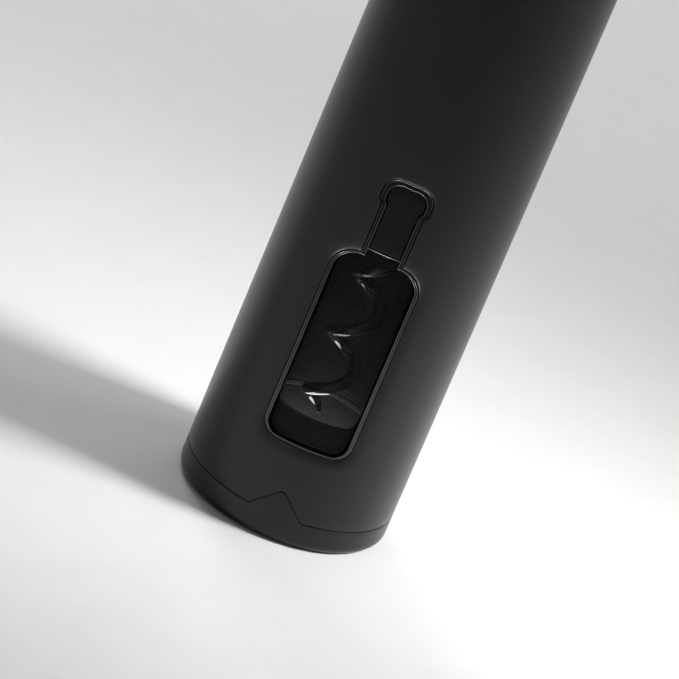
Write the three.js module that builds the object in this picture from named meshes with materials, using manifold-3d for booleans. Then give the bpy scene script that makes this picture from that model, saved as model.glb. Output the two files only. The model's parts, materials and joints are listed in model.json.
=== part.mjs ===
// A cordless electric wine opener: a straight tube that stands on a bottle's neck, with a window
// shaped like a bottle through which its worm is seen. A motor and three planetary stages turn a
// slotted sleeve. The sleeve turns the worm's carrier, whose two pins run in the helical grooves of
// a fixed tube, so the worm is screwed down out of the base by its own pitch at each turn.
// Millimetres, +Z up, front towards -Y, origin on the axis at the bottom.
import * as THREE from "three";
import { mergeVertices } from "three/addons/utils/BufferGeometryUtils.js";
import Module from "manifold-3d";

const wasm = await Module();
wasm.setup();

// Body
const BODY_RADIUS = 23;
const BODY_HEIGHT = 232;
const SHELL_WALL = 1.8;
const END_HEIGHT = 6.1; // height of the base ring and of the top cap
const EDGE_ROUNDING = 2;
const SEAM = 0.25;
const FIT = 0.3; // free gap between neighbouring pieces
const INNER_RADIUS = BODY_RADIUS - SHELL_WALL;
const LINER_RADIUS = INNER_RADIUS - FIT; // pieces that centre in the shell
const WINDOW_CLEAR_RADIUS = 19.9; // pieces that pass behind the window

// Bottle neck and cork
const NECK_BORE = 15.75;
const LIP_STOP = 20;
const CORK_BORE = 12.2;
const SLEEVE_BOTTOM = 21.6;
const SLEEVE_TOP = 68;

// Worm and its feed
const WORM_PITCH = 14.3;
const WORM_RADIUS = 3.9; // of the wire's centreline
const WIRE_RADIUS = 1.4;
const WORM_TIP = 20.7;
const LEFT_APEX_HEIGHT = 24.9; // where the helix stands furthest towards -X
const STROKE_TURNS = 3;
const STROKE = STROKE_TURNS * WORM_PITCH;
const PIN_HEIGHT = 116.5;
const PIN_BALL_RADIUS = 1.5;
const PIN_REACH = 11.6; // from the axis to the middle of a pin's ball end
const CARRIER_RADIUS = 7.8;
const CARRIER_BOTTOM = 110.5;
const CARRIER_TOP = 118.5;
const SLEEVE_BORE = 8.2;
const DRIVE_RADIUS = 10.3;
const FEED_BORE = 10.9;
const FEED_RADIUS = 14.6;
const FEED_BOTTOM = 68.3;
const FEED_TOP = 121;
const FEED_FLANGE = 1.5;
const WASHER_BOTTOM = FEED_BOTTOM + FEED_FLANGE + FIT;
const WASHER_TOP = WASHER_BOTTOM + 0.5;
const DRIVE_BOTTOM = WASHER_TOP + FIT;
const DRIVE_TOP = 122.2;

// Gears: twelve teeth on suns and planets, thirty-six on the ring, so each stage turns 4 to 1
const GEAR_MODULE = 0.8;
const SUN_TEETH = 12;
const RING_TEETH = 36;
const GEAR_RADIUS = (GEAR_MODULE * SUN_TEETH) / 2;
const RING_RADIUS = (GEAR_MODULE * RING_TEETH) / 2;
const PLANET_ORBIT = 2 * GEAR_RADIUS;
const PLANETS_PER_STAGE = 3;
const GEAR_FACE = 4;
const PLATE = 1.8;
const STAGE_HEIGHT = GEAR_FACE + PLATE + 2 * FIT;
const FIRST_GEARS = 126.9; // bottom of the lowest stage's planets, which drive the sleeve
const PLATE_RADIUS = 13.3;
const AXLE_RADIUS = 1.5;
const SHAFT_RADIUS = 1;

// Motor, battery and boards
const MOTOR_RADIUS = 12.2;
const MOTOR_BOTTOM = 146.2;
const CHASSIS_FLOOR = 180.4;
const BATTERY_RADIUS = 7.1;
const BATTERY_LENGTH = 43;
const BATTERY_OFFSET = 5.5;
const BATTERY_BOTTOM = 182.4;
const BOARD_BACK = -12.3;
const BOARD_FRONT = -13.5;

// Buttons and charging port
const DOWN_BUTTON_HEIGHT = 193;
const UP_BUTTON_HEIGHT = 209;
const LIGHT_HEIGHT = (DOWN_BUTTON_HEIGHT + UP_BUTTON_HEIGHT) / 2;
const BUTTON_RADIUS = 5;
const BEZEL_RADIUS = 7.2;
const PORT_HEIGHT = 191.8;

// Facets round a full turn
const OUTER_SIDES = 48;
const INNER_SIDES = 24;
const SMALL_SIDES = 12;

// ---- Finishes ----

const finish = (color, roughness, metalness = 0) =>
  new THREE.MeshStandardMaterial({ color, roughness, metalness });

const SATIN_CHARCOAL = finish(0x2e2e2f, 0.42);
const GLOSS_BLACK = finish(0x101011, 0.2);
const SMOKED = finish(0x0f1011, 0.08);
const DARK_PLASTIC = finish(0x1c1c1d, 0.5);
const RUBBER = finish(0x161616, 0.8);
const GREY_PLASTIC = finish(0x8b8d8f, 0.5);
const GEAR_PLASTIC = finish(0xe6e2d4, 0.45);
const COATED_STEEL = finish(0x141415, 0.22, 0.6);
const STEEL = finish(0xb9bcc0, 0.3, 1);
const LAMINATED_STEEL = finish(0x6b6d70, 0.45, 1);
const MAGNET = finish(0x3b3b3d, 0.6, 0.3);
const BRASS = finish(0xc9a24c, 0.35, 1);
const COPPER = finish(0xb87333, 0.35, 1);
const BOARD_GREEN = finish(0x1d5a34, 0.5);
const CELL_WRAP = finish(0x2f6fb2, 0.35);
const RED_WIRE = finish(0xb3221f, 0.5);
const BLACK_WIRE = finish(0x151515, 0.5);
const CLEAR_LIGHT = finish(0xe9edf0, 0.15);

// ---- Solids ----

const part = new THREE.Group();

function solid(geometry) {
  const bare = geometry.index ? geometry.toNonIndexed() : geometry.clone();
  bare.deleteAttribute("normal");
  bare.deleteAttribute("uv");
  const merged = mergeVertices(bare, 1e-3);
  const vertProperties = merged.attributes.position.array;
  const triVerts = new Uint32Array(merged.index.array);
  return new wasm.Manifold(new wasm.Mesh({ numProp: 3, vertProperties, triVerts }));
}

function geometryOf(shape) {
  const { vertProperties, triVerts } = shape.getMesh();
  const geometry = new THREE.BufferGeometry();
  geometry.setAttribute("position", new THREE.BufferAttribute(vertProperties, 3));
  geometry.setIndex(new THREE.BufferAttribute(triVerts, 1));
  geometry.computeVertexNormals();
  return geometry;
}

function add(name, shape, material) {
  const mesh = new THREE.Mesh(geometryOf(shape), material);
  mesh.name = name;
  part.add(mesh);
}

const join = (first, ...others) => others.reduce((whole, next) => whole.add(next), first);
const cut = (first, ...tools) => tools.reduce((whole, next) => whole.subtract(next), first);

function placed(geometry, x = 0, y = 0, z = 0) {
  return solid(geometry.translate(x, y, z));
}

// Turns a profile of [radius, height] points round the axis. One that leaves the axis closes on itself.
function turned(profile, sides = INNER_SIDES) {
  const area = profile.reduce((sum, [r, z], i) => {
    const [nextR, nextZ] = profile[(i + 1) % profile.length];
    return sum + r * nextZ - nextR * z;
  }, 0);
  const points = (area < 0 ? [...profile].reverse() : profile).map(
    ([r, z]) => new THREE.Vector2(r, z),
  );
  const solidCore = profile.some(([r]) => r === 0);
  if (!solidCore) points.push(points[0].clone());
  return solid(new THREE.LatheGeometry(points, sides).rotateX(Math.PI / 2));
}

function disc(radius, low, high, sides = INNER_SIDES) {
  const profile = [
    [0, low],
    [radius, low],
    [radius, high],
    [0, high],
  ];
  return turned(profile, sides);
}

function tube(inner, outer, low, high, sides = INNER_SIDES) {
  const profile = [
    [inner, low],
    [outer, low],
    [outer, high],
    [inner, high],
  ];
  return turned(profile, sides);
}

function block(x, y, z) {
  const size = [x[1] - x[0], y[1] - y[0], z[1] - z[0]];
  const middle = [(x[0] + x[1]) / 2, (y[0] + y[1]) / 2, (z[0] + z[1]) / 2];
  return placed(new THREE.BoxGeometry(...size), ...middle);
}

const extruded = (shape, depth, curveSegments = 6) =>
  new THREE.ExtrudeGeometry(shape, { depth, bevelEnabled: false, curveSegments });

// An outline in x and z, made solid from y = from to y = to.
function frontPrism(shape, from, to, curveSegments) {
  const geometry = extruded(shape, to - from, curveSegments).rotateX(Math.PI / 2);
  return placed(geometry, 0, to, 0);
}

// An upright outline in x and y, made solid from one height to another.
const uprightPrism = (shape, low, high) => placed(extruded(shape, high - low), 0, 0, low);

function frontCylinder(radius, from, to, x, z, sides = SMALL_SIDES * 2) {
  const geometry = new THREE.CylinderGeometry(radius, radius, to - from, sides);
  return placed(geometry, x, (from + to) / 2, z);
}

function stadium(radius, halfLength, centre, alongX = false) {
  const shape = new THREE.Shape();
  if (alongX) {
    shape.absarc(halfLength, centre, radius, -Math.PI / 2, Math.PI / 2);
    shape.absarc(-halfLength, centre, radius, Math.PI / 2, (3 * Math.PI) / 2);
  } else {
    shape.absarc(0, centre + halfLength, radius, 0, Math.PI);
    shape.absarc(0, centre - halfLength, radius, Math.PI, 2 * Math.PI);
  }
  return shape;
}

function polygon(radius, sides) {
  const shape = new THREE.Shape();
  const corners = Array.from({ length: sides }, (_, i) => (2 * Math.PI * i) / sides);
  shape.setFromPoints(
    corners.map((turn) => new THREE.Vector2(radius * Math.cos(turn), radius * Math.sin(turn))),
  );
  return shape;
}

function sweep(path, radius, steps, sides) {
  return solid(
    new THREE.ExtrudeGeometry(polygon(radius, sides), { steps, extrudePath: path }),
  );
}

// ---- Outlines ----

// A bottle's silhouette: body, round shoulders, neck and a wider lip.
function bottleOutline({ body, bottom, corner, shoulder, shoulderTop, neck, lip, lipLow, top, lipCorner }) {
  const swell = 1.5; // height over which the neck widens to the lip
  const neckTurn = Math.acos((neck - body + shoulder) / shoulder);
  const shape = new THREE.Shape();
  const middle = shoulderTop - shoulder;
  shape.moveTo(corner - body, bottom);
  shape.absarc(body - corner, bottom + corner, corner, -Math.PI / 2, 0);
  shape.absarc(body - shoulder, middle, shoulder, 0, neckTurn);
  shape.lineTo(neck, lipLow);
  shape.bezierCurveTo(neck, lipLow + swell / 2, lip, lipLow + swell / 2, lip, lipLow + swell);
  shape.absarc(lip - lipCorner, top - lipCorner, lipCorner, 0, Math.PI / 2);
  shape.absarc(lipCorner - lip, top - lipCorner, lipCorner, Math.PI / 2, Math.PI);
  shape.lineTo(-lip, lipLow + swell);
  shape.bezierCurveTo(-lip, lipLow + swell / 2, -neck, lipLow + swell / 2, -neck, lipLow);
  shape.absarc(shoulder - body, middle, shoulder, Math.PI - neckTurn, Math.PI);
  shape.absarc(corner - body, bottom + corner, corner, Math.PI, (3 * Math.PI) / 2);
  return shape;
}

const WINDOW_EDGE = {
  body: 9.75,
  bottom: 21.75,
  corner: 3.6,
  shoulder: 6,
  shoulderTop: 67,
  neck: 4.6,
  lip: 5.5,
  lipLow: 78,
  top: 84.8,
  lipCorner: 2.8,
};
const LENS_EDGE = {
  body: 8.8,
  bottom: 22.2,
  corner: 3,
  shoulder: 5.3,
  shoulderTop: 66.4,
  neck: 3.5,
  lip: 4.25,
  lipLow: 78,
  top: 83.4,
  lipCorner: 2,
};
const LENS_TOP = 68; // above this the bottle's neck is a solid plate

const moved = (edge, by) => ({
  ...edge,
  body: edge.body + by,
  bottom: edge.bottom - by,
  shoulder: edge.shoulder + by,
  shoulderTop: edge.shoulderTop + by,
  neck: edge.neck + by,
  lip: edge.lip + by,
  top: edge.top + by,
});

// The pointed tab of the base ring, with a rounded apex. It starts inside the ring, below the seam.
function tabOutline(grow) {
  const foot = 5.8 + grow;
  const apex = 12.1 + grow;
  const roundFrom = 1.1;
  const low = END_HEIGHT - 2;
  const slope = (apex - END_HEIGHT) / foot;
  const shape = new THREE.Shape();
  shape.moveTo(-foot, low);
  shape.lineTo(foot, low);
  shape.lineTo(foot, END_HEIGHT);
  shape.lineTo(roundFrom, apex - roundFrom * slope);
  shape.quadraticCurveTo(0, apex, -roundFrom, apex - roundFrom * slope);
  shape.lineTo(-foot, END_HEIGHT);
  return shape;
}

// ---- Housing ----

const SHELL_BOTTOM = END_HEIGHT + SEAM / 2;
const SHELL_TOP = BODY_HEIGHT - END_HEIGHT - SEAM / 2;
const OUTSIDE = -BODY_RADIUS - 2;

function outerShell() {
  const skin = tube(INNER_RADIUS, BODY_RADIUS, SHELL_BOTTOM, SHELL_TOP, OUTER_SIDES);
  const window = frontPrism(bottleOutline(WINDOW_EDGE), OUTSIDE, 0, 4);
  const notch = frontPrism(tabOutline(SEAM), OUTSIDE, 0, 4);
  const bezelHole = stadium(BEZEL_RADIUS, BUTTON_SPREAD, LIGHT_HEIGHT);
  const portHole = stadium(3.2, 3, PORT_HEIGHT, true);
  return cut(
    skin,
    window,
    notch,
    frontPrism(bezelHole, OUTSIDE, 0),
    frontPrism(portHole, 0, -OUTSIDE),
  );
}

const roundedEdge = (radius, height, turn) => [
  radius - EDGE_ROUNDING + EDGE_ROUNDING * Math.cos(turn),
  height + EDGE_ROUNDING * Math.sin(turn),
];

function baseRing() {
  const bore = NECK_BORE + 1.75;
  const spigotBore = LINER_RADIUS - 1.5;
  const spigotTop = 10.5;
  const spigotFoot = 4.5;
  const seamHeight = END_HEIGHT - SEAM / 2;
  const edge = [-90, -60, -30, 0].map((degrees) =>
    roundedEdge(BODY_RADIUS, EDGE_ROUNDING, THREE.MathUtils.degToRad(degrees)),
  );
  const profile = [
    [bore, 0],
    ...edge,
    [BODY_RADIUS, seamHeight],
    [LINER_RADIUS, seamHeight],
    [LINER_RADIUS, spigotTop],
    [spigotBore, spigotTop],
    [spigotBore, spigotFoot],
    [bore, spigotFoot],
  ];
  const tabBlank = tube(INNER_RADIUS, BODY_RADIUS, END_HEIGHT - 2, 14, OUTER_SIDES);
  const tab = frontPrism(tabOutline(0), OUTSIDE, 0, 4).intersect(tabBlank);
  return join(turned(profile, OUTER_SIDES), tab);
}

function topCap() {
  const wall = 2;
  const seamHeight = BODY_HEIGHT - END_HEIGHT + SEAM / 2;
  const spigotBottom = BODY_HEIGHT - 10.5;
  const edge = [0, 30, 60, 90].map((degrees) =>
    roundedEdge(BODY_RADIUS, BODY_HEIGHT - EDGE_ROUNDING, THREE.MathUtils.degToRad(degrees)),
  );
  const profile = [
    [0, BODY_HEIGHT - wall],
    [LINER_RADIUS - wall, BODY_HEIGHT - wall],
    [LINER_RADIUS - wall, spigotBottom],
    [LINER_RADIUS, spigotBottom],
    [LINER_RADIUS, seamHeight],
    [BODY_RADIUS, seamHeight],
    ...edge,
    [0, BODY_HEIGHT],
  ];
  return turned(profile, OUTER_SIDES);
}

// The bezel stands in the shell's opening and carries a lip behind the shell that holds it there.
function windowFrame() {
  const frontRadius = 22.6;
  const plateRadius = 21.9;
  const backRadius = 20.2;
  const behindShell = INNER_RADIUS - 0.25;
  const rim = frontPrism(bottleOutline(moved(WINDOW_EDGE, -0.15)), OUTSIDE, 0, 4);
  const flange = frontPrism(bottleOutline(moved(WINDOW_EDGE, 1.1)), OUTSIDE, 0, 4);
  const opening = frontPrism(bottleOutline(LENS_EDGE), OUTSIDE, 0, 4);
  const high = WINDOW_EDGE.top + 5;
  const low = WINDOW_EDGE.bottom - 5;
  const rimBand = tube(backRadius, frontRadius, low, high, OUTER_SIDES);
  const flangeBand = tube(backRadius, behindShell, low, high, OUTER_SIDES);
  const plateBand = tube(backRadius, plateRadius, LENS_TOP, WINDOW_EDGE.top, OUTER_SIDES);
  const neckPlate = rim.intersect(plateBand);
  const bezel = join(rim.intersect(rimBand), flange.intersect(flangeBand));
  return join(cut(bezel, opening), neckPlate);
}

function windowLens() {
  const outline = bottleOutline(moved(LENS_EDGE, -0.15));
  const band = tube(20.4, 21.9, LENS_EDGE.bottom, LENS_TOP - 0.15, OUTER_SIDES);
  return frontPrism(outline, OUTSIDE, 0, 4).intersect(band);
}

function neckGuide() {
  const outer = NECK_BORE + 1.45;
  const mouth = 0.6;
  const profile = [
    [outer - 0.3, mouth],
    [outer, mouth + 0.3],
    [outer, 10.8],
    [LINER_RADIUS, 10.8],
    [LINER_RADIUS, 12.3],
    [outer, 12.3],
    [outer, SLEEVE_BOTTOM - FIT],
    [NECK_BORE, SLEEVE_BOTTOM - FIT],
    [NECK_BORE, mouth + 2.4],
  ];
  return turned(profile, INNER_SIDES + 8);
}

const lipSeat = () => tube(CORK_BORE + 0.2, NECK_BORE - FIT, LIP_STOP, SLEEVE_BOTTOM - FIT);

function corkSleeve() {
  const wall = 1.5;
  const flange = 1.5;
  const ribHeight = 0.8;
  const profile = [
    [CORK_BORE, SLEEVE_BOTTOM],
    [WINDOW_CLEAR_RADIUS, SLEEVE_BOTTOM],
    [WINDOW_CLEAR_RADIUS, SLEEVE_BOTTOM + flange],
    [CORK_BORE + wall, SLEEVE_BOTTOM + flange],
    [CORK_BORE + wall, SLEEVE_TOP],
    [CORK_BORE, SLEEVE_TOP],
  ];
  const ribs = [45, 135, 225, 315].map((degrees) => {
    const rib = new THREE.BoxGeometry(2 * ribHeight, 1.2, 42);
    rib.translate(CORK_BORE, 0, 45).rotateZ(THREE.MathUtils.degToRad(degrees));
    return solid(rib);
  });
  const frontOpening = block([-8.6, 8.6], [-15, -6], [24.5, 65]);
  return cut(join(turned(profile), ...ribs), frontOpening);
}

// ---- Feed ----

class Helix extends THREE.Curve {
  constructor(radius, low, high, phase) {
    super();
    Object.assign(this, { radius, low, high, phase });
  }

  getPoint(t, target = new THREE.Vector3()) {
    const height = this.low + (this.high - this.low) * t;
    const turn = this.phase + (2 * Math.PI * height) / WORM_PITCH;
    return target.set(this.radius * Math.cos(turn), this.radius * Math.sin(turn), height);
  }
}

// A groove passes the pin's resting place and runs a little past both ends of the stroke.
function helicalGroove(startTurn) {
  const overrun = 0.45;
  const phase = startTurn - (2 * Math.PI * PIN_HEIGHT) / WORM_PITCH;
  const path = new Helix(
    PIN_REACH,
    PIN_HEIGHT - STROKE - overrun,
    PIN_HEIGHT + overrun,
    phase,
  );
  return sweep(path, PIN_BALL_RADIUS + 0.5, 52, 8);
}

// Its lower flange reaches inwards too, and carries the thrust washer under the drive sleeve.
function feedTube() {
  const flangeTop = FEED_BOTTOM + FEED_FLANGE;
  const profile = [
    [SLEEVE_BORE + FIT, FEED_BOTTOM],
    [WINDOW_CLEAR_RADIUS, FEED_BOTTOM],
    [WINDOW_CLEAR_RADIUS, flangeTop],
    [FEED_RADIUS, flangeTop],
    [FEED_RADIUS, FEED_TOP - FEED_FLANGE],
    [LINER_RADIUS, FEED_TOP - FEED_FLANGE],
    [LINER_RADIUS, FEED_TOP],
    [FEED_BORE, FEED_TOP],
    [FEED_BORE, flangeTop],
    [SLEEVE_BORE + FIT, flangeTop],
  ];
  return cut(turned(profile), helicalGroove(0), helicalGroove(Math.PI));
}

function driveSleeve() {
  const slotFoot = DRIVE_BOTTOM + 1.2;
  const slotHalfWidth = 1.5;
  const reach = DRIVE_RADIUS + 1;
  const slots = block([-reach, reach], [-slotHalfWidth, slotHalfWidth], [slotFoot, DRIVE_TOP + 1]);
  return cut(tube(SLEEVE_BORE, DRIVE_RADIUS, DRIVE_BOTTOM, DRIVE_TOP), slots);
}

const thrustWasher = () => tube(SLEEVE_BORE + FIT, FEED_BORE - 0.2, WASHER_BOTTOM, WASHER_TOP);

function wormCarrier() {
  const shankHole = disc(WIRE_RADIUS + FIT, CARRIER_BOTTOM - 1, CARRIER_TOP - 0.6, SMALL_SIDES);
  const pinHole = new THREE.CylinderGeometry(1.4, 1.4, 6, SMALL_SIDES).rotateZ(Math.PI / 2);
  const rightHole = placed(pinHole.clone(), 6, 0, PIN_HEIGHT);
  const leftHole = placed(pinHole.clone(), -6, 0, PIN_HEIGHT);
  const blank = disc(CARRIER_RADIUS, CARRIER_BOTTOM, CARRIER_TOP);
  return cut(blank, shankHole, rightHole, leftHole);
}

function guidePin(side) {
  const start = 3.3;
  const stem = new THREE.CylinderGeometry(1.15, 1.15, PIN_REACH - start, SMALL_SIDES);
  stem.rotateZ(Math.PI / 2);
  const ball = new THREE.SphereGeometry(PIN_BALL_RADIUS, SMALL_SIDES, 8);
  return join(
    placed(stem, (side * (PIN_REACH + start)) / 2, 0, PIN_HEIGHT),
    placed(ball, side * PIN_REACH, 0, PIN_HEIGHT),
  );
}

// The worm's wire: it comes in towards the axis at the tip, runs as a right-handed helix, and closes
// on the axis at the top to become the shank held by the carrier.
class WormPath extends THREE.Curve {
  getPoint(t, target = new THREE.Vector3()) {
    const start = WORM_TIP + 1.9;
    const end = CARRIER_TOP - 1;
    const height = start + (end - start) * t;
    const opening = THREE.MathUtils.smoothstep(height, WORM_TIP - 2, WORM_TIP + 5);
    const closing = 1 - THREE.MathUtils.smoothstep(height, 100, 108.5);
    const radius = WORM_RADIUS * opening * closing;
    const turn = Math.PI + (2 * Math.PI * (height - LEFT_APEX_HEIGHT)) / WORM_PITCH;
    return target.set(radius * Math.cos(turn), radius * Math.sin(turn), height);
  }
}

function worm() {
  const path = new WormPath();
  const start = path.getPointAt(0);
  const backwards = path.getTangentAt(0).negate();
  const length = 4;
  const tip = new THREE.ConeGeometry(WIRE_RADIUS * 0.98, length, 7);
  tip.translate(0, length / 2 - 0.4, 0);
  tip.applyQuaternion(
    new THREE.Quaternion().setFromUnitVectors(new THREE.Vector3(0, 1, 0), backwards),
  );
  return join(sweep(path, WIRE_RADIUS, 76, 7), placed(tip, start.x, start.y, start.z));
}

// ---- Gears ----

const EXTERNAL_TOOTH = { root: -0.8, tip: 0.6, rootShare: 0.3, tipShare: 0.16 };
const INTERNAL_TOOTH = { root: 0.8, tip: -0.45, rootShare: 0.3, tipShare: 0.18 };

// Straight-sided teeth, the first one centred at angle 0. The shares are of a tooth's pitch.
function toothedPoints(teeth, pitchRadius, tooth) {
  const corners = [
    [tooth.root, -tooth.rootShare],
    [tooth.tip, -tooth.tipShare],
    [tooth.tip, tooth.tipShare],
    [tooth.root, tooth.rootShare],
  ];
  const points = [];
  for (let i = 0; i < teeth; i += 1) {
    for (const [rise, share] of corners) {
      const turn = (2 * Math.PI * (i + share)) / teeth;
      const radius = pitchRadius + rise;
      points.push(new THREE.Vector2(radius * Math.cos(turn), radius * Math.sin(turn)));
    }
  }
  return points;
}

const gearShape = () => new THREE.Shape(toothedPoints(SUN_TEETH, GEAR_RADIUS, EXTERNAL_TOOTH));
const gearsLow = (stage) => FIRST_GEARS + stage * STAGE_HEIGHT;
const orbitTurn = (planet) => (2 * Math.PI * planet) / PLANETS_PER_STAGE;

// Half a tooth pitch off, so that its spaces face the sun and the ring's teeth.
function planetGear(stage, planet) {
  const bore = new THREE.Path();
  bore.absarc(0, 0, AXLE_RADIUS + FIT, 0, 2 * Math.PI);
  const shape = gearShape();
  shape.holes.push(bore);
  const geometry = extruded(shape, GEAR_FACE, 4).rotateZ(Math.PI / SUN_TEETH);
  geometry.translate(PLANET_ORBIT, 0, gearsLow(stage)).rotateZ(orbitTurn(planet));
  return solid(geometry);
}

function axles(stage) {
  const low = gearsLow(stage) - FIT - PLATE / 2;
  const high = gearsLow(stage) + GEAR_FACE - 0.1;
  return Array.from({ length: PLANETS_PER_STAGE }, (_, planet) => {
    const geometry = new THREE.CylinderGeometry(AXLE_RADIUS, AXLE_RADIUS, high - low, SMALL_SIDES);
    geometry.rotateX(Math.PI / 2).translate(PLANET_ORBIT, 0, (low + high) / 2);
    return solid(geometry.rotateZ(orbitTurn(planet)));
  });
}

// A plate with three axles above it, and below it the sun of the next stage down.
function sunCarrier(stage) {
  const plateHigh = gearsLow(stage) - FIT;
  const plateLow = plateHigh - PLATE;
  const plate = disc(PLATE_RADIUS, plateLow, plateHigh);
  const sun = uprightPrism(gearShape(), gearsLow(stage - 1) + 0.1, plateLow + PLATE / 2);
  return join(plate, sun, ...axles(stage));
}

// The lowest carrier: its hub passes the case's floor and its two dogs stand in the sleeve's slots.
function outputCarrier() {
  const plateHigh = gearsLow(0) - FIT;
  const plateLow = plateHigh - PLATE;
  const hubLow = CARRIER_TOP + FIT;
  const hubHigh = 122.5;
  const plate = disc(PLATE_RADIUS, plateLow, plateHigh);
  const collar = disc(DRIVE_RADIUS - 0.1, hubHigh, plateHigh - PLATE / 2);
  const core = disc(SLEEVE_BORE - FIT, hubLow, hubHigh + 0.5);
  const dogReach = DRIVE_RADIUS - 0.2;
  const dogs = block([-dogReach, dogReach], [-1.2, 1.2], [hubLow, hubHigh + 0.5]);
  return join(plate, collar, core, dogs, ...axles(0));
}

const CASE_BOTTOM = 122.8;
const CASE_TOP = 143.8;
const CASE_RADIUS = 16.8;

function gearCase() {
  const floor = 1.5;
  const shape = new THREE.Shape();
  shape.absarc(0, 0, CASE_RADIUS, 0, 2 * Math.PI);
  shape.holes.push(new THREE.Path(toothedPoints(RING_TEETH, RING_RADIUS, INTERNAL_TOOTH)));
  const ringGear = placed(
    extruded(shape, CASE_TOP - CASE_BOTTOM - floor / 2, 9),
    0,
    0,
    CASE_BOTTOM + floor / 2,
  );
  const floorRing = tube(DRIVE_RADIUS + 0.2, CASE_RADIUS - 0.2, CASE_BOTTOM, CASE_BOTTOM + floor);
  const flange = tube(CASE_RADIUS - 0.6, LINER_RADIUS, CASE_TOP - 2, CASE_TOP);
  return join(ringGear, floorRing, flange);
}

// ---- Motor ----

const MOTOR_SCREW_SPREAD = 8;
const BUSH_RADIUS = 3;

function drilled(blank, radius, low, high) {
  return [-1, 1].reduce((whole, side) => {
    const geometry = new THREE.CylinderGeometry(radius, radius, high - low, SMALL_SIDES);
    geometry.rotateX(Math.PI / 2);
    return cut(whole, placed(geometry, side * MOTOR_SCREW_SPREAD, 0, (low + high) / 2));
  }, blank);
}

function motorPlate() {
  const low = CASE_TOP + FIT;
  const high = MOTOR_BOTTOM - FIT;
  const blank = tube(BUSH_RADIUS + FIT, LINER_RADIUS, low, high);
  return drilled(drilled(blank, 1.35, low - 1, high + 1), 2.3, low - 1, low + 1.2);
}

function motorScrew(side) {
  const low = CASE_TOP + FIT + 0.05;
  const headTop = low + 0.9;
  const profile = [
    [0, low],
    [2, low],
    [2, headTop],
    [1.05, headTop],
    [1.05, MOTOR_BOTTOM + 2],
    [0, MOTOR_BOTTOM + 2],
  ];
  return turned(profile, SMALL_SIDES).translate([side * MOTOR_SCREW_SPREAD, 0, 0]);
}

const CAN_TOP = 174.5;
const CAN_WALL = 0.8;

function motorCan() {
  const profile = [
    [BUSH_RADIUS + FIT, MOTOR_BOTTOM],
    [MOTOR_RADIUS, MOTOR_BOTTOM],
    [MOTOR_RADIUS, CAN_TOP],
    [MOTOR_RADIUS - CAN_WALL, CAN_TOP],
    [MOTOR_RADIUS - CAN_WALL, MOTOR_BOTTOM + 1],
    [BUSH_RADIUS + FIT, MOTOR_BOTTOM + 1],
  ];
  return drilled(turned(profile), 1.35, MOTOR_BOTTOM - 1, MOTOR_BOTTOM + 2);
}

const motorBush = () => tube(SHAFT_RADIUS + 0.15, BUSH_RADIUS, 144.4, 149.5, 16);

function motorMagnet(side) {
  const ring = tube(9.9, MOTOR_RADIUS - CAN_WALL - 0.2, 150.2, 171);
  const wide = 7.4;
  const keep = side > 0 ? [3, 14] : [-14, -3];
  return ring.intersect(block([-wide, wide], keep, [149, 172]));
}

function motorEndcap() {
  const plugBore = 6;
  const plugBottom = 172.8;
  const capTop = 177.2;
  const profile = [
    [SHAFT_RADIUS + 0.2, CAN_TOP + FIT],
    [plugBore, CAN_TOP + FIT],
    [plugBore, plugBottom],
    [MOTOR_RADIUS - CAN_WALL - 0.2, plugBottom],
    [MOTOR_RADIUS - CAN_WALL - 0.2, CAN_TOP + FIT],
    [MOTOR_RADIUS, CAN_TOP + FIT],
    [MOTOR_RADIUS, capTop],
    [SHAFT_RADIUS + 0.2, capTop],
  ];
  const terminals = [-1, 1].map((side) => {
    const middle = side * TERMINAL_SPREAD;
    return block([middle - 1.2, middle + 1.2], [-4.2, -3.8], [capTop - 1, 180]);
  });
  return join(turned(profile), ...terminals);
}

const motorShaft = () => disc(SHAFT_RADIUS, FIRST_GEARS + 2 * STAGE_HEIGHT + 0.2, 178.4, SMALL_SIDES);

function motorPinion() {
  const bore = new THREE.Path();
  bore.absarc(0, 0, SHAFT_RADIUS + 0.15, 0, 2 * Math.PI);
  const shape = gearShape();
  shape.holes.push(bore);
  return uprightPrism(shape, gearsLow(2) + 0.1, gearsLow(2) + GEAR_FACE - 0.1);
}

// Three poles, each a narrow arm with a wide shoe.
function rotorCore() {
  const low = 151;
  const high = 170;
  const reach = 9.4;
  const hub = disc(3.2, low, high, 18);
  const shoes = tube(7.8, reach, low, high, 36);
  const arm = new THREE.BoxGeometry(reach - 1, 3.4, high - low).translate(reach / 2, 0, (low + high) / 2);
  const gap = new THREE.BoxGeometry(4, 2.2, high - low + 2).translate(9, 0, (low + high) / 2);
  const arms = [0, 1, 2].map((pole) => solid(arm.clone().rotateZ(orbitTurn(pole))));
  const gaps = [0.5, 1.5, 2.5].map((pole) => solid(gap.clone().rotateZ(orbitTurn(pole))));
  const bore = disc(SHAFT_RADIUS + 0.15, low - 1, high + 1, SMALL_SIDES);
  return cut(join(hub, shoes, ...arms), bore, ...gaps);
}

const commutator = () => tube(SHAFT_RADIUS + 0.15, 2.6, 170.4, 174.4, SMALL_SIDES);

// ---- Battery, boards and wiring ----

const TERMINAL_SPREAD = 7;
const BATTERY_TOP = BATTERY_BOTTOM + BATTERY_LENGTH;

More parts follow.
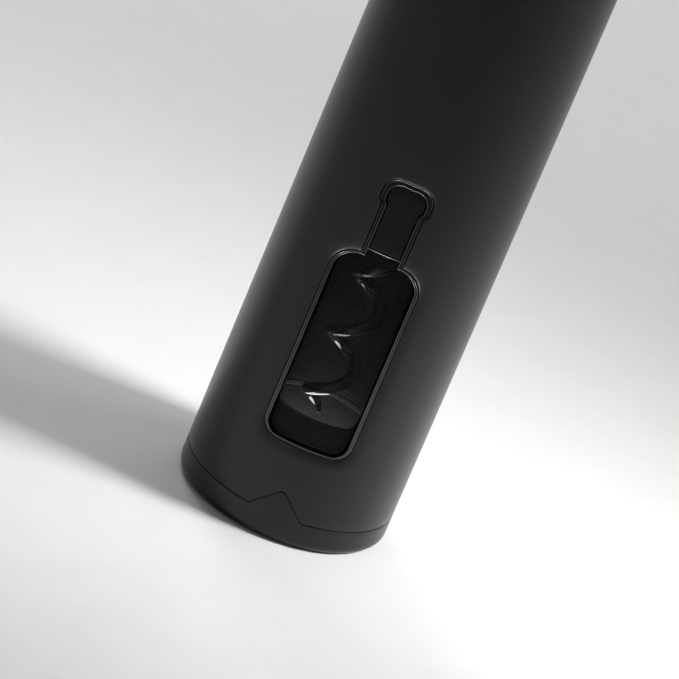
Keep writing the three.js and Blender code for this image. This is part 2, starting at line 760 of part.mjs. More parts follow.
function chassis() {
  const floorTop = CHASSIS_FLOOR + 1.6;
  const floor = disc(LINER_RADIUS, CHASSIS_FLOOR, floorTop);
  const wireHole = block([-9, 9], [-10, -2.5], [CHASSIS_FLOOR - 1, floorTop + 1]);
  const cradle = tube(BATTERY_RADIUS + 0.3, BATTERY_RADIUS + 1.8, floorTop - 0.5, 216).translate([
    0,
    BATTERY_OFFSET,
    0,
  ]);
  const cradleFront = block([-10, 10], [-10, BATTERY_OFFSET], [floorTop, 220]);
  const portRoom = block([-8, 8], [BATTERY_OFFSET + 5, 22], [187.5, 195]);
  const posts = [-1, 1].map((side) => {
    const near = 11.4 * side;
    const far = 14.4 * side;
    return block([Math.min(near, far), Math.max(near, far)], [-14.6, -11.6], [floorTop - 0.5, 220.9]);
  });
  return join(cut(floor, wireHole), cut(cradle, cradleFront, portRoom), ...posts);
}

const batteryCell = () =>
  disc(BATTERY_RADIUS, BATTERY_BOTTOM, BATTERY_TOP, 24).translate([0, BATTERY_OFFSET, 0]);

function batteryTab(low) {
  return block([-2.5, 2.5], [-0.5, 8], [low, low + 0.2]);
}

const circuitBoard = () => block([-11, 11], [BOARD_FRONT, BOARD_BACK], [182.4, 222]);

function tactSwitch(height) {
  const back = BOARD_FRONT - 0.2;
  const front = back - 3.5;
  const box = block([-3, 3], [front, back], [height - 3, height + 3]);
  return join(box, frontCylinder(1.7, front - 0.75, front + 0.5, 0, height, SMALL_SIDES));
}

const chargeLed = () =>
  block([-0.8, 0.8], [BOARD_FRONT - 1, BOARD_FRONT - 0.2], [LIGHT_HEIGHT - 0.6, LIGHT_HEIGHT + 0.6]);

const chargeBoard = () => block([-7, 7], [13.3, 19.3], [188.7, 189.7]);

function chargeSocket() {
  const body = stadium(1.6, 2.85, PORT_HEIGHT, true);
  const mouth = stadium(1.3, 2.85, PORT_HEIGHT, true);
  const shell = frontPrism(body, 14.6, 22.4, 4);
  const tongue = block([-3.3, 3.3], [15.5, 21.6], [PORT_HEIGHT - 0.35, PORT_HEIGHT + 0.35]);
  return join(cut(shell, frontPrism(mouth, 15.8, 23, 4)), tongue);
}

function portTrim() {
  const outside = frontPrism(stadium(3.05, 3, PORT_HEIGHT, true), 0, 24, 4);
  const inside = frontPrism(stadium(1.85, 2.9, PORT_HEIGHT, true), 0, 24, 4);
  const band = tube(20.6, 22.8, PORT_HEIGHT - 5, PORT_HEIGHT + 5, OUTER_SIDES);
  return cut(outside, inside).intersect(band);
}

const wire = (...points) =>
  sweep(new THREE.CatmullRomCurve3(points.map((p) => new THREE.Vector3(...p))), 0.6, 10, 6);

const motorLead = (side) =>
  wire(
    [side * 4, BOARD_BACK + 0.95, 188],
    [side * 4.6, BOARD_BACK + 1.4, 184.5],
    [side * 6.2, -8, 181.4],
    [side * TERMINAL_SPREAD, -5.2, 179.2],
  );

const upperBatteryLead = () =>
  wire([6, BOARD_BACK + 0.95, 218], [5.4, -9.6, 222], [3, -5, 225.2], [1.5, -1.5, 226.1]);

const lowerBatteryLead = () =>
  wire([-6.5, BOARD_BACK + 0.95, 190], [-6.5, -9.4, 186.4], [-3.4, -5, 183.5], [-1.5, -1.6, 182.8]);

// ---- Buttons ----

const BUTTON_SPREAD = (UP_BUTTON_HEIGHT - DOWN_BUTTON_HEIGHT) / 2;
const BUTTON_FACE = 22.7;

function buttonBezel() {
  const outline = stadium(BEZEL_RADIUS - 0.15, BUTTON_SPREAD, LIGHT_HEIGHT);
  const band = tube(20.9, BODY_RADIUS - 0.15, LIGHT_HEIGHT - 20, LIGHT_HEIGHT + 20, OUTER_SIDES);
  const holes = [DOWN_BUTTON_HEIGHT, UP_BUTTON_HEIGHT].map((height) =>
    frontCylinder(BUTTON_RADIUS + FIT, OUTSIDE, 0, 0, height),
  );
  const lightHole = frontCylinder(1.2, OUTSIDE, 0, 0, LIGHT_HEIGHT, SMALL_SIDES);
  return cut(frontPrism(outline, OUTSIDE, 0).intersect(band), ...holes, lightHole);
}

function button(height) {
  const flangeFront = -19.6;
  const face = disc(BUTTON_FACE, height - 8, height + 8, OUTER_SIDES);
  const head = frontCylinder(BUTTON_RADIUS, OUTSIDE, flangeFront + 0.3, 0, height).intersect(face);
  const flange = frontCylinder(BUTTON_RADIUS + 0.8, flangeFront, flangeFront + 0.6, 0, height);
  const stem = frontCylinder(1.5, flangeFront + 0.3, -18.55, 0, height, SMALL_SIDES);
  return join(head, flange, stem);
}

const indicatorLens = () => frontCylinder(0.9, 0.1 - BODY_RADIUS, -14.8, 0, LIGHT_HEIGHT, SMALL_SIDES);

// ---- Assembly ----

add("outer_shell", outerShell(), SATIN_CHARCOAL);
add("base_ring", baseRing(), SATIN_CHARCOAL);
add("top_cap", topCap(), SATIN_CHARCOAL);
add("window_frame", windowFrame(), DARK_PLASTIC);
add("window_lens", windowLens(), SMOKED);
add("neck_guide", neckGuide(), DARK_PLASTIC);
add("lip_seat", lipSeat(), RUBBER);
add("cork_sleeve", corkSleeve(), DARK_PLASTIC);

add("feed_tube", feedTube(), GREY_PLASTIC);
add("thrust_washer", thrustWasher(), BRASS);
add("drive_sleeve", driveSleeve(), STEEL);
add("worm_carrier", wormCarrier(), GREY_PLASTIC);
add("guide_pin_left", guidePin(-1), STEEL);
add("guide_pin_right", guidePin(1), STEEL);
add("worm", worm(), COATED_STEEL);

add("gear_case", gearCase(), GREY_PLASTIC);
add("output_carrier", outputCarrier(), GEAR_PLASTIC);
add("second_carrier", sunCarrier(1), GEAR_PLASTIC);
add("first_carrier", sunCarrier(2), GEAR_PLASTIC);
["third", "second", "first"].forEach((stageName, stage) => {
  ["a", "b", "c"].forEach((letter, planet) => {
    add(`${stageName}_planet_${letter}`, planetGear(stage, planet), GEAR_PLASTIC);
  });
});

add("motor_plate", motorPlate(), STEEL);
add("motor_screw_left", motorScrew(-1), STEEL);
add("motor_screw_right", motorScrew(1), STEEL);
add("motor_can", motorCan(), STEEL);
add("motor_bush", motorBush(), BRASS);
add("motor_magnet_front", motorMagnet(-1), MAGNET);
add("motor_magnet_rear", motorMagnet(1), MAGNET);
add("motor_endcap", motorEndcap(), DARK_PLASTIC);
add("motor_shaft", motorShaft(), STEEL);
add("motor_pinion", motorPinion(), BRASS);
add("rotor_core", rotorCore(), LAMINATED_STEEL);
add("commutator", commutator(), COPPER);

add("chassis", chassis(), DARK_PLASTIC);
add("battery_cell", batteryCell(), CELL_WRAP);
add("battery_tab_top", batteryTab(BATTERY_TOP + 0.1), STEEL);
add("battery_tab_bottom", batteryTab(BATTERY_BOTTOM - 0.3), STEEL);
add("circuit_board", circuitBoard(), BOARD_GREEN);
add("up_switch", tactSwitch(UP_BUTTON_HEIGHT), GREY_PLASTIC);
add("down_switch", tactSwitch(DOWN_BUTTON_HEIGHT), GREY_PLASTIC);
add("charge_led", chargeLed(), CLEAR_LIGHT);
add("charge_board", chargeBoard(), BOARD_GREEN);
add("charge_socket", chargeSocket(), STEEL);
add("motor_lead_red", motorLead(1), RED_WIRE);
add("motor_lead_black", motorLead(-1), BLACK_WIRE);
add("battery_lead_red", upperBatteryLead(), RED_WIRE);
add("battery_lead_black", lowerBatteryLead(), BLACK_WIRE);

add("button_bezel", buttonBezel(), GLOSS_BLACK);
add("up_button", button(UP_BUTTON_HEIGHT), SATIN_CHARCOAL);
add("down_button", button(DOWN_BUTTON_HEIGHT), SATIN_CHARCOAL);
add("indicator_lens", indicatorLens(), CLEAR_LIGHT);
add("port_trim", portTrim(), GLOSS_BLACK);

export default part;
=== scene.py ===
import json
import math

import bmesh
import bpy
import numpy as np
from mathutils import Matrix, Vector
from mathutils.geometry import delaunay_2d_cdt


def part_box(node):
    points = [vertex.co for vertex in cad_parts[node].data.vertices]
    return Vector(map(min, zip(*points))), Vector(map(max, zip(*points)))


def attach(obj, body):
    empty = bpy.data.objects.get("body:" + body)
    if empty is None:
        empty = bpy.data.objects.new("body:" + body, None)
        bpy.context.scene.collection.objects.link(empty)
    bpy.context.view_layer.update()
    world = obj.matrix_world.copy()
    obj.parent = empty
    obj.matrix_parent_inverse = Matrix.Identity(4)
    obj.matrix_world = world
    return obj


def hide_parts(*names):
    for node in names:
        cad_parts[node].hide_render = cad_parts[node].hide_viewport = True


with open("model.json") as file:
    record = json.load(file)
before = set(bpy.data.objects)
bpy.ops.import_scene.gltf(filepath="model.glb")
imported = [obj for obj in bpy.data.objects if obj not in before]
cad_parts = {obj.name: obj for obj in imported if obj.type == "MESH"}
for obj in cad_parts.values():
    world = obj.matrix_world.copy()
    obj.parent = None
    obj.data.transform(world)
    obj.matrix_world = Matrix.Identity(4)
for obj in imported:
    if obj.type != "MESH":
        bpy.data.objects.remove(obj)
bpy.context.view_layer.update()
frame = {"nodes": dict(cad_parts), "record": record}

MM = 0.001


def box_mm(node):
    low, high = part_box(node)
    return low / MM, high / MM


# ---- Sizes taken from the frame ----

shell_low, shell_high = box_mm("outer_shell")
BODY_RADIUS = shell_high.x
BODY_HEIGHT = box_mm("top_cap")[1].z
WALL = 1.8
INNER_RADIUS = BODY_RADIUS - WALL
LINER_RADIUS = INNER_RADIUS - 0.3
CAD_SEAM = 0.25
SEAM = 0.08  # the gap that shows, in the middle of the CAD model's
SHELL_BOTTOM = shell_low.z - (CAD_SEAM - SEAM) / 2
SHELL_TOP = shell_high.z + (CAD_SEAM - SEAM) / 2
RING_TOP = SHELL_BOTTOM - SEAM
CAP_BOTTOM = SHELL_TOP + SEAM
EDGE_ROUNDING = 2.0
SOFT_EDGE = 0.16  # rounding of moulded edges at seams and openings

DOWN_HEIGHT = sum(c.z for c in box_mm("down_button")) / 2
UP_HEIGHT = sum(c.z for c in box_mm("up_button")) / 2
LIGHT_HEIGHT = (DOWN_HEIGHT + UP_HEIGHT) / 2
BUTTON_SPREAD = (UP_HEIGHT - DOWN_HEIGHT) / 2
BUTTON_RADIUS = 5.0
BUTTON_FACE = -box_mm("up_button")[0].y
BEZEL_RADIUS = 7.2
PORT_HEIGHT = sum(c.z for c in box_mm("charge_socket")) / 2
PORT_RADIUS, PORT_HALF = 3.2, 3  # its rounded ends, and half the straight length between them

sleeve_low, sleeve_high = box_mm("cork_sleeve")
CORK_BORE = 12.2
NECK_BORE = 15.75

# Window: heights and half widths of the bottle-shaped opening and of the lens inside its rim
WINDOW_EDGE = dict(body=9.75, bottom=21.75, corner=3.6, shoulder=6, shoulder_top=67,
                   neck=4.6, lip=5.45, lip_low=78, top=84.8, lip_corner=3.5)
LENS_EDGE = dict(body=8.8, bottom=22.2, corner=3, shoulder=5.3, shoulder_top=66.4,
                 neck=3.5, lip=4.15, lip_low=78, top=83.4, lip_corner=2.7)
LENS_TOP = 68.0
BEZEL_FRONT = BODY_RADIUS - 0.5
BEZEL_BACK = BODY_RADIUS - 2.8
PLATE_FRONT = BODY_RADIUS - 0.8
LENS_FRONT = BODY_RADIUS - 1.1
LENS_BACK = BODY_RADIUS - 2.6
BEAD_WIDTH = 0.34
ROLL_WIDTH = 2.7  # how far round the window the shell dips towards it
ROLL_DEPTH = 0.44
ROLL_ROWS = (0, 0.05, 0.15, 0.35, 0.65, 1.0, 1.45, 1.9, 2.3, ROLL_WIDTH)

# Worm: a right-handed wire helix that closes on the axis at both ends
WORM_PITCH = 14.3
WORM_RADIUS = 3.9
WIRE_RADIUS = 1.4
LEFT_APEX_HEIGHT = 24.9
worm_low, worm_high = box_mm("worm")


# ---- Meshes ----

SHARP_DEGREES = 38


def turn_outward(mesh):
    """Flips a closed mesh whose faces look inwards."""
    shape = bmesh.new()
    shape.from_mesh(mesh)
    if shape.calc_volume(signed=True) < 0:
        mesh.flip_normals()
    shape.free()


def make_mesh(name, points_mm, faces):
    """A closed mesh, smooth but for its sharper edges."""
    mesh = bpy.data.meshes.new(name)
    mesh.from_pydata([tuple(float(c) * MM for c in p) for p in points_mm], [], faces)
    mesh.validate()
    turn_outward(mesh)
    mesh.shade_smooth()
    mesh.set_sharp_from_angle(angle=math.radians(SHARP_DEGREES))
    piece = bpy.data.objects.new(name, mesh)
    bpy.context.scene.collection.objects.link(piece)
    return piece


def dress(piece, slot, body, *nodes):
    """Gives a piece its finish and its body, and hides the CAD nodes it stands for."""
    piece.data.materials.append(MATERIALS[slot])
    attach(piece, body)
    if nodes:
        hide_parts(*nodes)


def loops_to_faces(loop_count, size, closed_profile=True):
    """Quads between neighbouring loops of the same number of points."""
    faces = []
    for i in range(loop_count if closed_profile else loop_count - 1):
        this_loop, next_loop = i * size, ((i + 1) % loop_count) * size
        for j in range(size):
            k = (j + 1) % size
            faces.append((this_loop + j, this_loop + k, next_loop + k, next_loop + j))
    return faces


def solid_from_loops(name, loops):
    """A closed solid through loops of the same number of points, with a flat face at each end."""
    size, count = len(loops[0]), len(loops)
    faces = loops_to_faces(count, size, closed_profile=False)
    faces.append(tuple(reversed(range(size))))
    faces.append(tuple(range((count - 1) * size, count * size)))
    return make_mesh(name, [p for loop in loops for p in loop], faces)


def arc_points(x, z, radius, start, end, steps):
    turns = np.linspace(math.radians(start), math.radians(end), steps + 1)
    return [(x + radius * math.cos(t), z + radius * math.sin(t)) for t in turns]


def line_points(a, b, steps):
    shares = np.linspace(0, 1, steps + 1)
    return [(a[0] + (b[0] - a[0]) * t, a[1] + (b[1] - a[1]) * t) for t in shares]


def without_repeats(points, closed=True):
    kept = [points[0]]
    for p in points[1:]:
        if math.dist(p, kept[-1]) > 1e-6:
            kept.append(p)
    if closed and math.dist(kept[0], kept[-1]) < 1e-6:
        kept.pop()
    return kept


def filled_in(outline, spacing):
    """A closed outline with points added along its longer sides."""
    points = []
    for i, corner in enumerate(outline):
        before = outline[i - 1]
        steps = max(1, round(math.dist(before, corner) / spacing))
        points += line_points(before, corner, steps)
    return without_repeats(points)


def rounded_profile(corners):
    """A closed profile of (x, z, rounding) corners, with each rounded corner made an arc."""
    points = []
    for i, (x, z, rounding) in enumerate(corners):
        here = Vector((x, z))
        if not rounding:
            points.append((x, z))
            continue
        before = (Vector(corners[i - 1][:2]) - here).normalized()
        after = (Vector(corners[(i + 1) % len(corners)][:2]) - here).normalized()
        half = before.angle(after) / 2
        reach = rounding / math.tan(half)
        centre = here + (before + after).normalized() * (rounding / math.sin(half))
        start, end = here + before * reach - centre, here + after * reach - centre
        sweep = start.angle_signed(end)
        steps = max(2, round(abs(math.degrees(sweep)) / 15))
        for k in range(steps + 1):
            turned = Matrix.Rotation(-sweep * k / steps, 2) @ start
            points.append(tuple(centre + turned))
    return points


def lathe(name, profile, segments=144):
    """Turns a closed profile of (radius, height) round Z. Points on the axis are shared."""
    points, rings = [], []
    for r, z in profile:
        if r < 1e-6:
            rings.append([len(points)] * segments)
            points.append((0, 0, z))
            continue
        rings.append(list(range(len(points), len(points) + segments)))
        for k in range(segments):
            turn = 2 * math.pi * k / segments
            points.append((r * math.cos(turn), r * math.sin(turn), z))
    faces = []
    for i, ring in enumerate(rings):
        above = rings[(i + 1) % len(rings)]
        for k in range(segments):
            n = (k + 1) % segments
            face = without_doubles((ring[k], ring[n], above[n], above[k]))
            if len(face) > 2:
                faces.append(face)
    return make_mesh(name, points, faces)


def without_doubles(face):
    return tuple(v for i, v in enumerate(face) if v != face[i - 1])


def closed_wall(name, front, back, triangles):
    """A closed solid from a triangulated front, its back, and walls round their edges."""
    count = len(front)
    faces = [tuple(int(v) for v in t) for t in triangles]
    half_edges = {(t[i], t[(i + 1) % 3]) for t in faces for i in range(3)}
    walls = [(b, a, a + count, b + count) for a, b in half_edges if (b, a) not in half_edges]
    backs = [(t[2] + count, t[1] + count, t[0] + count) for t in faces]
    return make_mesh(name, np.concatenate([front, back]), faces + backs + sorted(walls))


# ---- Surfaces wrapped round the body ----
# A point on a wrapped surface is (u, z): u is the arc length at its outer radius, 0 at the front.

STRAIGHT_ZONE = math.radians(35)  # within this of front and back, openings are cut parallel to Y


def on_front(points, radius):
    return [(radius * math.asin(x / radius), z) for x, z in points]


def on_back(points, radius):
    return [(radius * (math.pi - math.asin(x / radius)), z) for x, z in points]


def wrapped(u, z, outer, radius):
    """The 3-D place of a surface point at another radius, kept at the same x near front and back."""
    turn = np.asarray(u) / outer
    radius = np.broadcast_to(radius, turn.shape)
    base = np.round(turn / math.pi) * math.pi
    off = turn - base
    edge = np.arcsin(np.clip(outer / radius * math.sin(STRAIGHT_ZONE), -1, 1))
    near = np.arcsin(np.clip(outer / radius * np.sin(off), -1, 1))
    share = (np.abs(off) - STRAIGHT_ZONE) / (math.pi / 2 - STRAIGHT_ZONE)
    far = np.sign(off) * (edge + share * (math.pi / 2 - edge))
    turn = base + np.where(np.abs(off) <= STRAIGHT_ZONE, near, far)
    return np.stack([radius * np.sin(turn), -radius * np.cos(turn), np.asarray(z)], axis=-1)


def inside(points, polygon):
    x, z = points[:, 0][:, None], points[:, 1][:, None]
    a = np.asarray(polygon)
    b = np.roll(a, -1, axis=0)
    crosses = (a[:, 1] > z) != (b[:, 1] > z)
    rise = np.where(b[:, 1] == a[:, 1], 1, b[:, 1] - a[:, 1])
    at = a[:, 0] + (z - a[:, 1]) / rise * (b[:, 0] - a[:, 0])
    return (np.sum(crosses & (x < at), axis=1) % 2) == 1


def distance_to(points, line):
    nearest = np.full(len(points), 1e9)
    for p in line:
        nearest = np.minimum(nearest, np.hypot(points[:, 0] - p[0], points[:, 1] - p[1]))
    return nearest


def edge_depth(s, rounding=SOFT_EDGE):
    """How far a rounded edge lies under the surface at a distance s in from the edge."""
    return rounding - math.sqrt(rounding**2 - (rounding - s) ** 2) if s < rounding else 0.0


EDGE_ROWS = [0, SOFT_EDGE * 0.13, SOFT_EDGE * 0.45, SOFT_EDGE]


def plate(name, outer, inner, domain, lines, holes, step, seam=None):
    """A wall between two radii, triangulated on the outer surface and closed round its edges.

    lines are (points, depth, is_loop): rows of vertices and how far they lie under the surface,
    as one number or a list with one for each point. step is the spacing of the grid between them.
    With a seam (lowest u, highest u), the two sides of the domain are joined to make a tube.
    """
    flat, depths, edges = [], [], []
    for points, depth, is_loop in lines:
        first, count = len(flat), len(points)
        flat += points
        depths += list(np.broadcast_to(depth, count))
        sides = count if is_loop else count - 1
        edges += [(first + i, first + (i + 1) % count) for i in range(sides)]
    flat += grid_between(np.array(flat), domain, holes, step, seam)
    depths += [0.0] * (len(flat) - len(depths))

    verts, _, faces, origin, _, _ = delaunay_2d_cdt([Vector(p) for p in flat], edges, [], 0, 1e-5)
    verts = np.array([tuple(v) for v in verts])
    depth = np.array([depths[o[0]] if o else 0.0 for o in origin])
    triangles = np.array([f for f in faces if len(f) == 3])
    triangles = triangles[in_material(verts[triangles].mean(axis=1), domain, holes)]
    triangles = all_one_way(verts, triangles)
    if seam:
        triangles = joined_seam(verts, triangles, seam)
    used, triangles = np.unique(triangles, return_inverse=True)
    triangles = triangles.reshape(-1, 3)
    verts, depth = verts[used], depth[used]
    front = wrapped(verts[:, 0], verts[:, 1], outer, outer - depth)
    back = wrapped(verts[:, 0], verts[:, 1], outer, inner)
    return closed_wall(name, front, back, triangles)


def in_material(points, domain, holes):
    keep = inside(points, domain)
    for hole in holes:
        keep &= ~inside(points, hole)
    return keep


def grid_between(line_vertices, domain, holes, step, seam):
    """Grid points in the material and on the seam's sides, clear of the rows of vertices."""
    low, high = np.min(domain, axis=0), np.max(domain, axis=0)
    columns = np.linspace(low[0], high[0], round((high[0] - low[0]) / step[0]) + 1)
    rows = np.linspace(low[1], high[1], max(2, round((high[1] - low[1]) / step[1]) + 1))
    grid = np.array([(u, z) for u in columns for z in rows])
    clearance, batch = 0.55 * min(step), 64
    for start in range(0, len(line_vertices), batch):
        grid = grid[distance_to(grid, line_vertices[start:start + batch]) > clearance]
    keep = in_material(grid, domain, holes)
    if seam:
        on_seam = (np.abs(grid[:, 0] - seam[0]) < 1e-6) | (np.abs(grid[:, 0] - seam[1]) < 1e-6)
        keep |= on_seam & (grid[:, 1] > low[1]) & (grid[:, 1] < high[1])
    return [tuple(p) for p in grid[keep]]


def all_one_way(verts, triangles):
    """The triangles that have an area, all turning the same way."""
    a, b, c = (verts[triangles[:, i]] for i in range(3))
    turn = (b[:, 0] - a[:, 0]) * (c[:, 1] - a[:, 1]) - (b[:, 1] - a[:, 1]) * (c[:, 0] - a[:, 0])
    triangles = triangles[np.abs(turn) > 1e-9]
    turn = turn[np.abs(turn) > 1e-9]
    triangles[turn < 0] = triangles[turn < 0][:, ::-1]
    return triangles


def joined_seam(verts, triangles, seam):
    """The triangles with each vertex on the seam's high side replaced by its twin on the low."""
    at_low = {round(z, 4): i for i, (u, z) in enumerate(verts) if abs(u - seam[0]) < 1e-5}
    same = np.arange(len(verts))
    for i, (u, z) in enumerate(verts):
        if abs(u - seam[1]) < 1e-5:
            same[i] = at_low[round(z, 4)]
    return same[triangles]


def band(name, loops):
    """A closed ring of wall from loops of (x, z) points, each with its radius at a height."""
    points = []
    for outline, radius_at in loops:
        points += [(x, -math.sqrt(radius_at(z) ** 2 - x**2), z) for x, z in outline]
    return make_mesh(name, points, loops_to_faces(len(loops), len(loops[0][0])))


def constant(radius):
    return lambda z: radius


# ---- Outlines ----

SIDE_U = BODY_RADIUS * math.pi / 2
SEAM_SIDES = (-SIDE_U, 3 * SIDE_U)  # the body is unrolled from its left side
SHELL_COLUMNS = 161


def smoothstep(value, low, high):
    t = min(1.0, max(0.0, (value - low) / (high - low)))
    return t * t * (3 - 2 * t)


def bottle_outline(edge, grow=0.0):
    """A bottle's silhouette, anticlockwise from the middle of its base, grown on every side."""
    swell = 1.5
    body, neck, lip = edge["body"] + grow, edge["neck"] + grow, edge["lip"] + grow
    bottom, top = edge["bottom"] - grow, edge["top"] + grow
    corner, lip_corner = edge["corner"] + grow, edge["lip_corner"] + grow
    shoulder, lip_low = edge["shoulder"] + grow, edge["lip_low"]
    middle = edge["shoulder_top"] - edge["shoulder"]
    turn = math.degrees(math.acos((neck - body + shoulder) / shoulder))
    shoulder_arc = arc_points(body - shoulder, middle, shoulder, 0, turn, 14)
    swelling = []
    for t in np.linspace(0, 1, 7):
        across = neck + (lip - neck) * (3 * t**2 - 2 * t**3)
        swelling.append((across, lip_low + swell * (t + (1 - t) * t * (1 - 2 * t) * 0.5)))
    right = (
        line_points((0, bottom), (body - corner, bottom), 7)
        + arc_points(body - corner, bottom + corner, corner, -90, 0, 10)
        + line_points((body, bottom + corner), (body, middle), 40)
        + shoulder_arc
        + line_points(shoulder_arc[-1], (neck, lip_low), 10)
        + swelling
        + arc_points(lip - lip_corner, top - lip_corner, lip_corner, 0, 90, 10)
        + line_points((lip - lip_corner, top), (0, top), 3)
    )
    right = without_repeats(right, closed=False)
    return right + [(-x, z) for x, z in reversed(right[1:-1])]


def circle(radius, height, steps):
    return without_repeats(arc_points(0, height, radius, 0, 360, steps))


def stadium(radius, half_length, centre, along_x=False, grow=0.0, steps=20):
    """A slot with round ends, upright or lying along x."""
    r = radius + grow
    if along_x:
        points = (arc_points(half_length, centre, r, -90, 90, steps)
                  + line_points((half_length, centre + r), (-half_length, centre + r), 6)
                  + arc_points(-half_length, centre, r, 90, 270, steps)
                  + line_points((-half_length, centre - r), (half_length, centre - r), 6))
    else:
        points = (arc_points(0, centre + half_length, r, 0, 180, steps)
                  + line_points((-r, centre + half_length), (-r, centre - half_length), 14)
                  + arc_points(0, centre - half_length, r, 180, 360, steps)
                  + line_points((r, centre - half_length), (r, centre + half_length), 14))
    return without_repeats(points)


def button_area(radius, grow):
    """The outline round both buttons."""
    return stadium(radius, BUTTON_SPREAD, LIGHT_HEIGHT, grow=grow)


# The pointed tab of the base ring: half width at its foot, heights, and half width of its round tip
TAB_FOOT, TAB_BASE, TAB_APEX, TAB_ROUND = 5.8, 6.1, 12.1, 1.1


def tab_columns(reach):
    """Values of x across the tab, closer together at its tip."""
    tip = [TAB_ROUND * k for k in (-1, -0.75, -0.5, -0.25, 0.25, 0.5, 0.75, 1)]
    return sorted({*np.linspace(-reach, reach, 45), *tip})


def turn_at(x):
    """The angle round the body, from the front, of a point of its surface at x."""
    return math.asin(x / BODY_RADIUS)


def tab_height(x, grow=0.0):
    """Height of the base ring's pointed tab at x, with its rounded apex."""
    foot, apex = TAB_FOOT + grow, TAB_APEX + grow
    slope = (apex - TAB_BASE) / foot
    if abs(x) >= TAB_ROUND:
        return apex - slope * abs(x)
    t = (1 - x / TAB_ROUND) / 2
    side = apex - slope * TAB_ROUND
    return side + 2 * t * (1 - t) * (apex - side)


def level_row(height):
    """A row round the whole body at one height."""
    return [(u, height) for u in np.linspace(*SEAM_SIDES, SHELL_COLUMNS)]


def seam_row(height, grow):
    """A row round the whole body that rises over the tab, grown by a distance."""
    foot = TAB_FOOT + grow
    reach = foot + (TAB_BASE - height) * foot / (TAB_APEX + grow - TAB_BASE)
    over = [(BODY_RADIUS * turn_at(x), max(height, tab_height(x, grow))) for x in tab_columns(reach)]
    tab_end = over[-1][0]
    sides = [(u, z) for u, z in level_row(height) if abs(u) > tab_end + 0.3]
    return without_repeats(sorted(sides + over), closed=False)


# ---- Materials ----

def noise(tree, coords, scale, detail=2.0, roughness=0.5):
    node = tree.nodes.new("ShaderNodeTexNoise")
    node.inputs["Scale"].default_value = scale
    node.inputs["Detail"].default_value = detail
    node.inputs["Roughness"].default_value = roughness
    tree.links.new(coords, node.inputs["Vector"])
    return node.outputs["Fac"]


def mapped(tree, value, low, high, from_low=0.3, from_high=0.7):
    node = tree.nodes.new("ShaderNodeMapRange")
    node.inputs["From Min"].default_value = from_low
    node.inputs["From Max"].default_value = from_high
    node.inputs["To Min"].default_value = low
    node.inputs["To Max"].default_value = high
    tree.links.new(value, node.inputs["Value"])
    return node.outputs["Result"]


def mixed(tree, factor, first, second):
    node = tree.nodes.new("ShaderNodeMix")
    node.data_type = "RGBA"
    node.inputs["A"].default_value = (*first, 1)
    node.inputs["B"].default_value = (*second, 1)
    tree.links.new(factor, node.inputs["Factor"])
    return node.outputs["Result"]


def finish(name, color, roughness, metallic=0.0, vary=0.1, grain=None, stretch=(1, 1, 1), **sockets):
    """A procedural finish: mottled colour, uneven gloss and a fine grain of (size, depth) in mm.

    vary is how far the colour strays from its middle, and stretch draws the grain out, as brushing
    does. Other arguments are constant values for the shader's sockets.
    """
    material = bpy.data.materials.new(name)
    material.use_nodes = True
    tree = material.node_tree
    shader = tree.nodes["Principled BSDF"]
    mapping = tree.nodes.new("ShaderNodeMapping")
    mapping.inputs["Scale"].default_value = stretch
    tree.links.new(tree.nodes.new("ShaderNodeTexCoord").outputs["Object"], mapping.inputs["Vector"])
    coords = mapping.outputs["Vector"]
    mottle = noise(tree, coords, 90, 4)
    darker = tuple(c * (1 - vary) for c in color)
    lighter = tuple(min(1, c * (1 + vary)) for c in color)
    spread = mapped(tree, mottle, 0, 1)
    tree.links.new(mixed(tree, spread, darker, lighter), shader.inputs["Base Color"])
    smudges = noise(tree, coords, 45, 3)
    gloss = mapped(tree, smudges, roughness * (1 - vary * 0.6), roughness * (1 + vary * 0.6))
    tree.links.new(gloss, shader.inputs["Roughness"])
    shader.inputs["Metallic"].default_value = metallic
    for socket, value in sockets.items():
        shader.inputs[socket.replace("_", " ")].default_value = value
    if grain:
        size, depth = grain
        bump = tree.nodes.new("ShaderNodeBump")
        bump.inputs["Distance"].default_value = depth * MM
        bump.inputs["Strength"].default_value = 1.0
        tree.links.new(noise(tree, coords, 1 / (size * MM), 2), bump.inputs["Height"])
        tree.links.new(bump.outputs["Normal"], shader.inputs["Normal"])
    return material


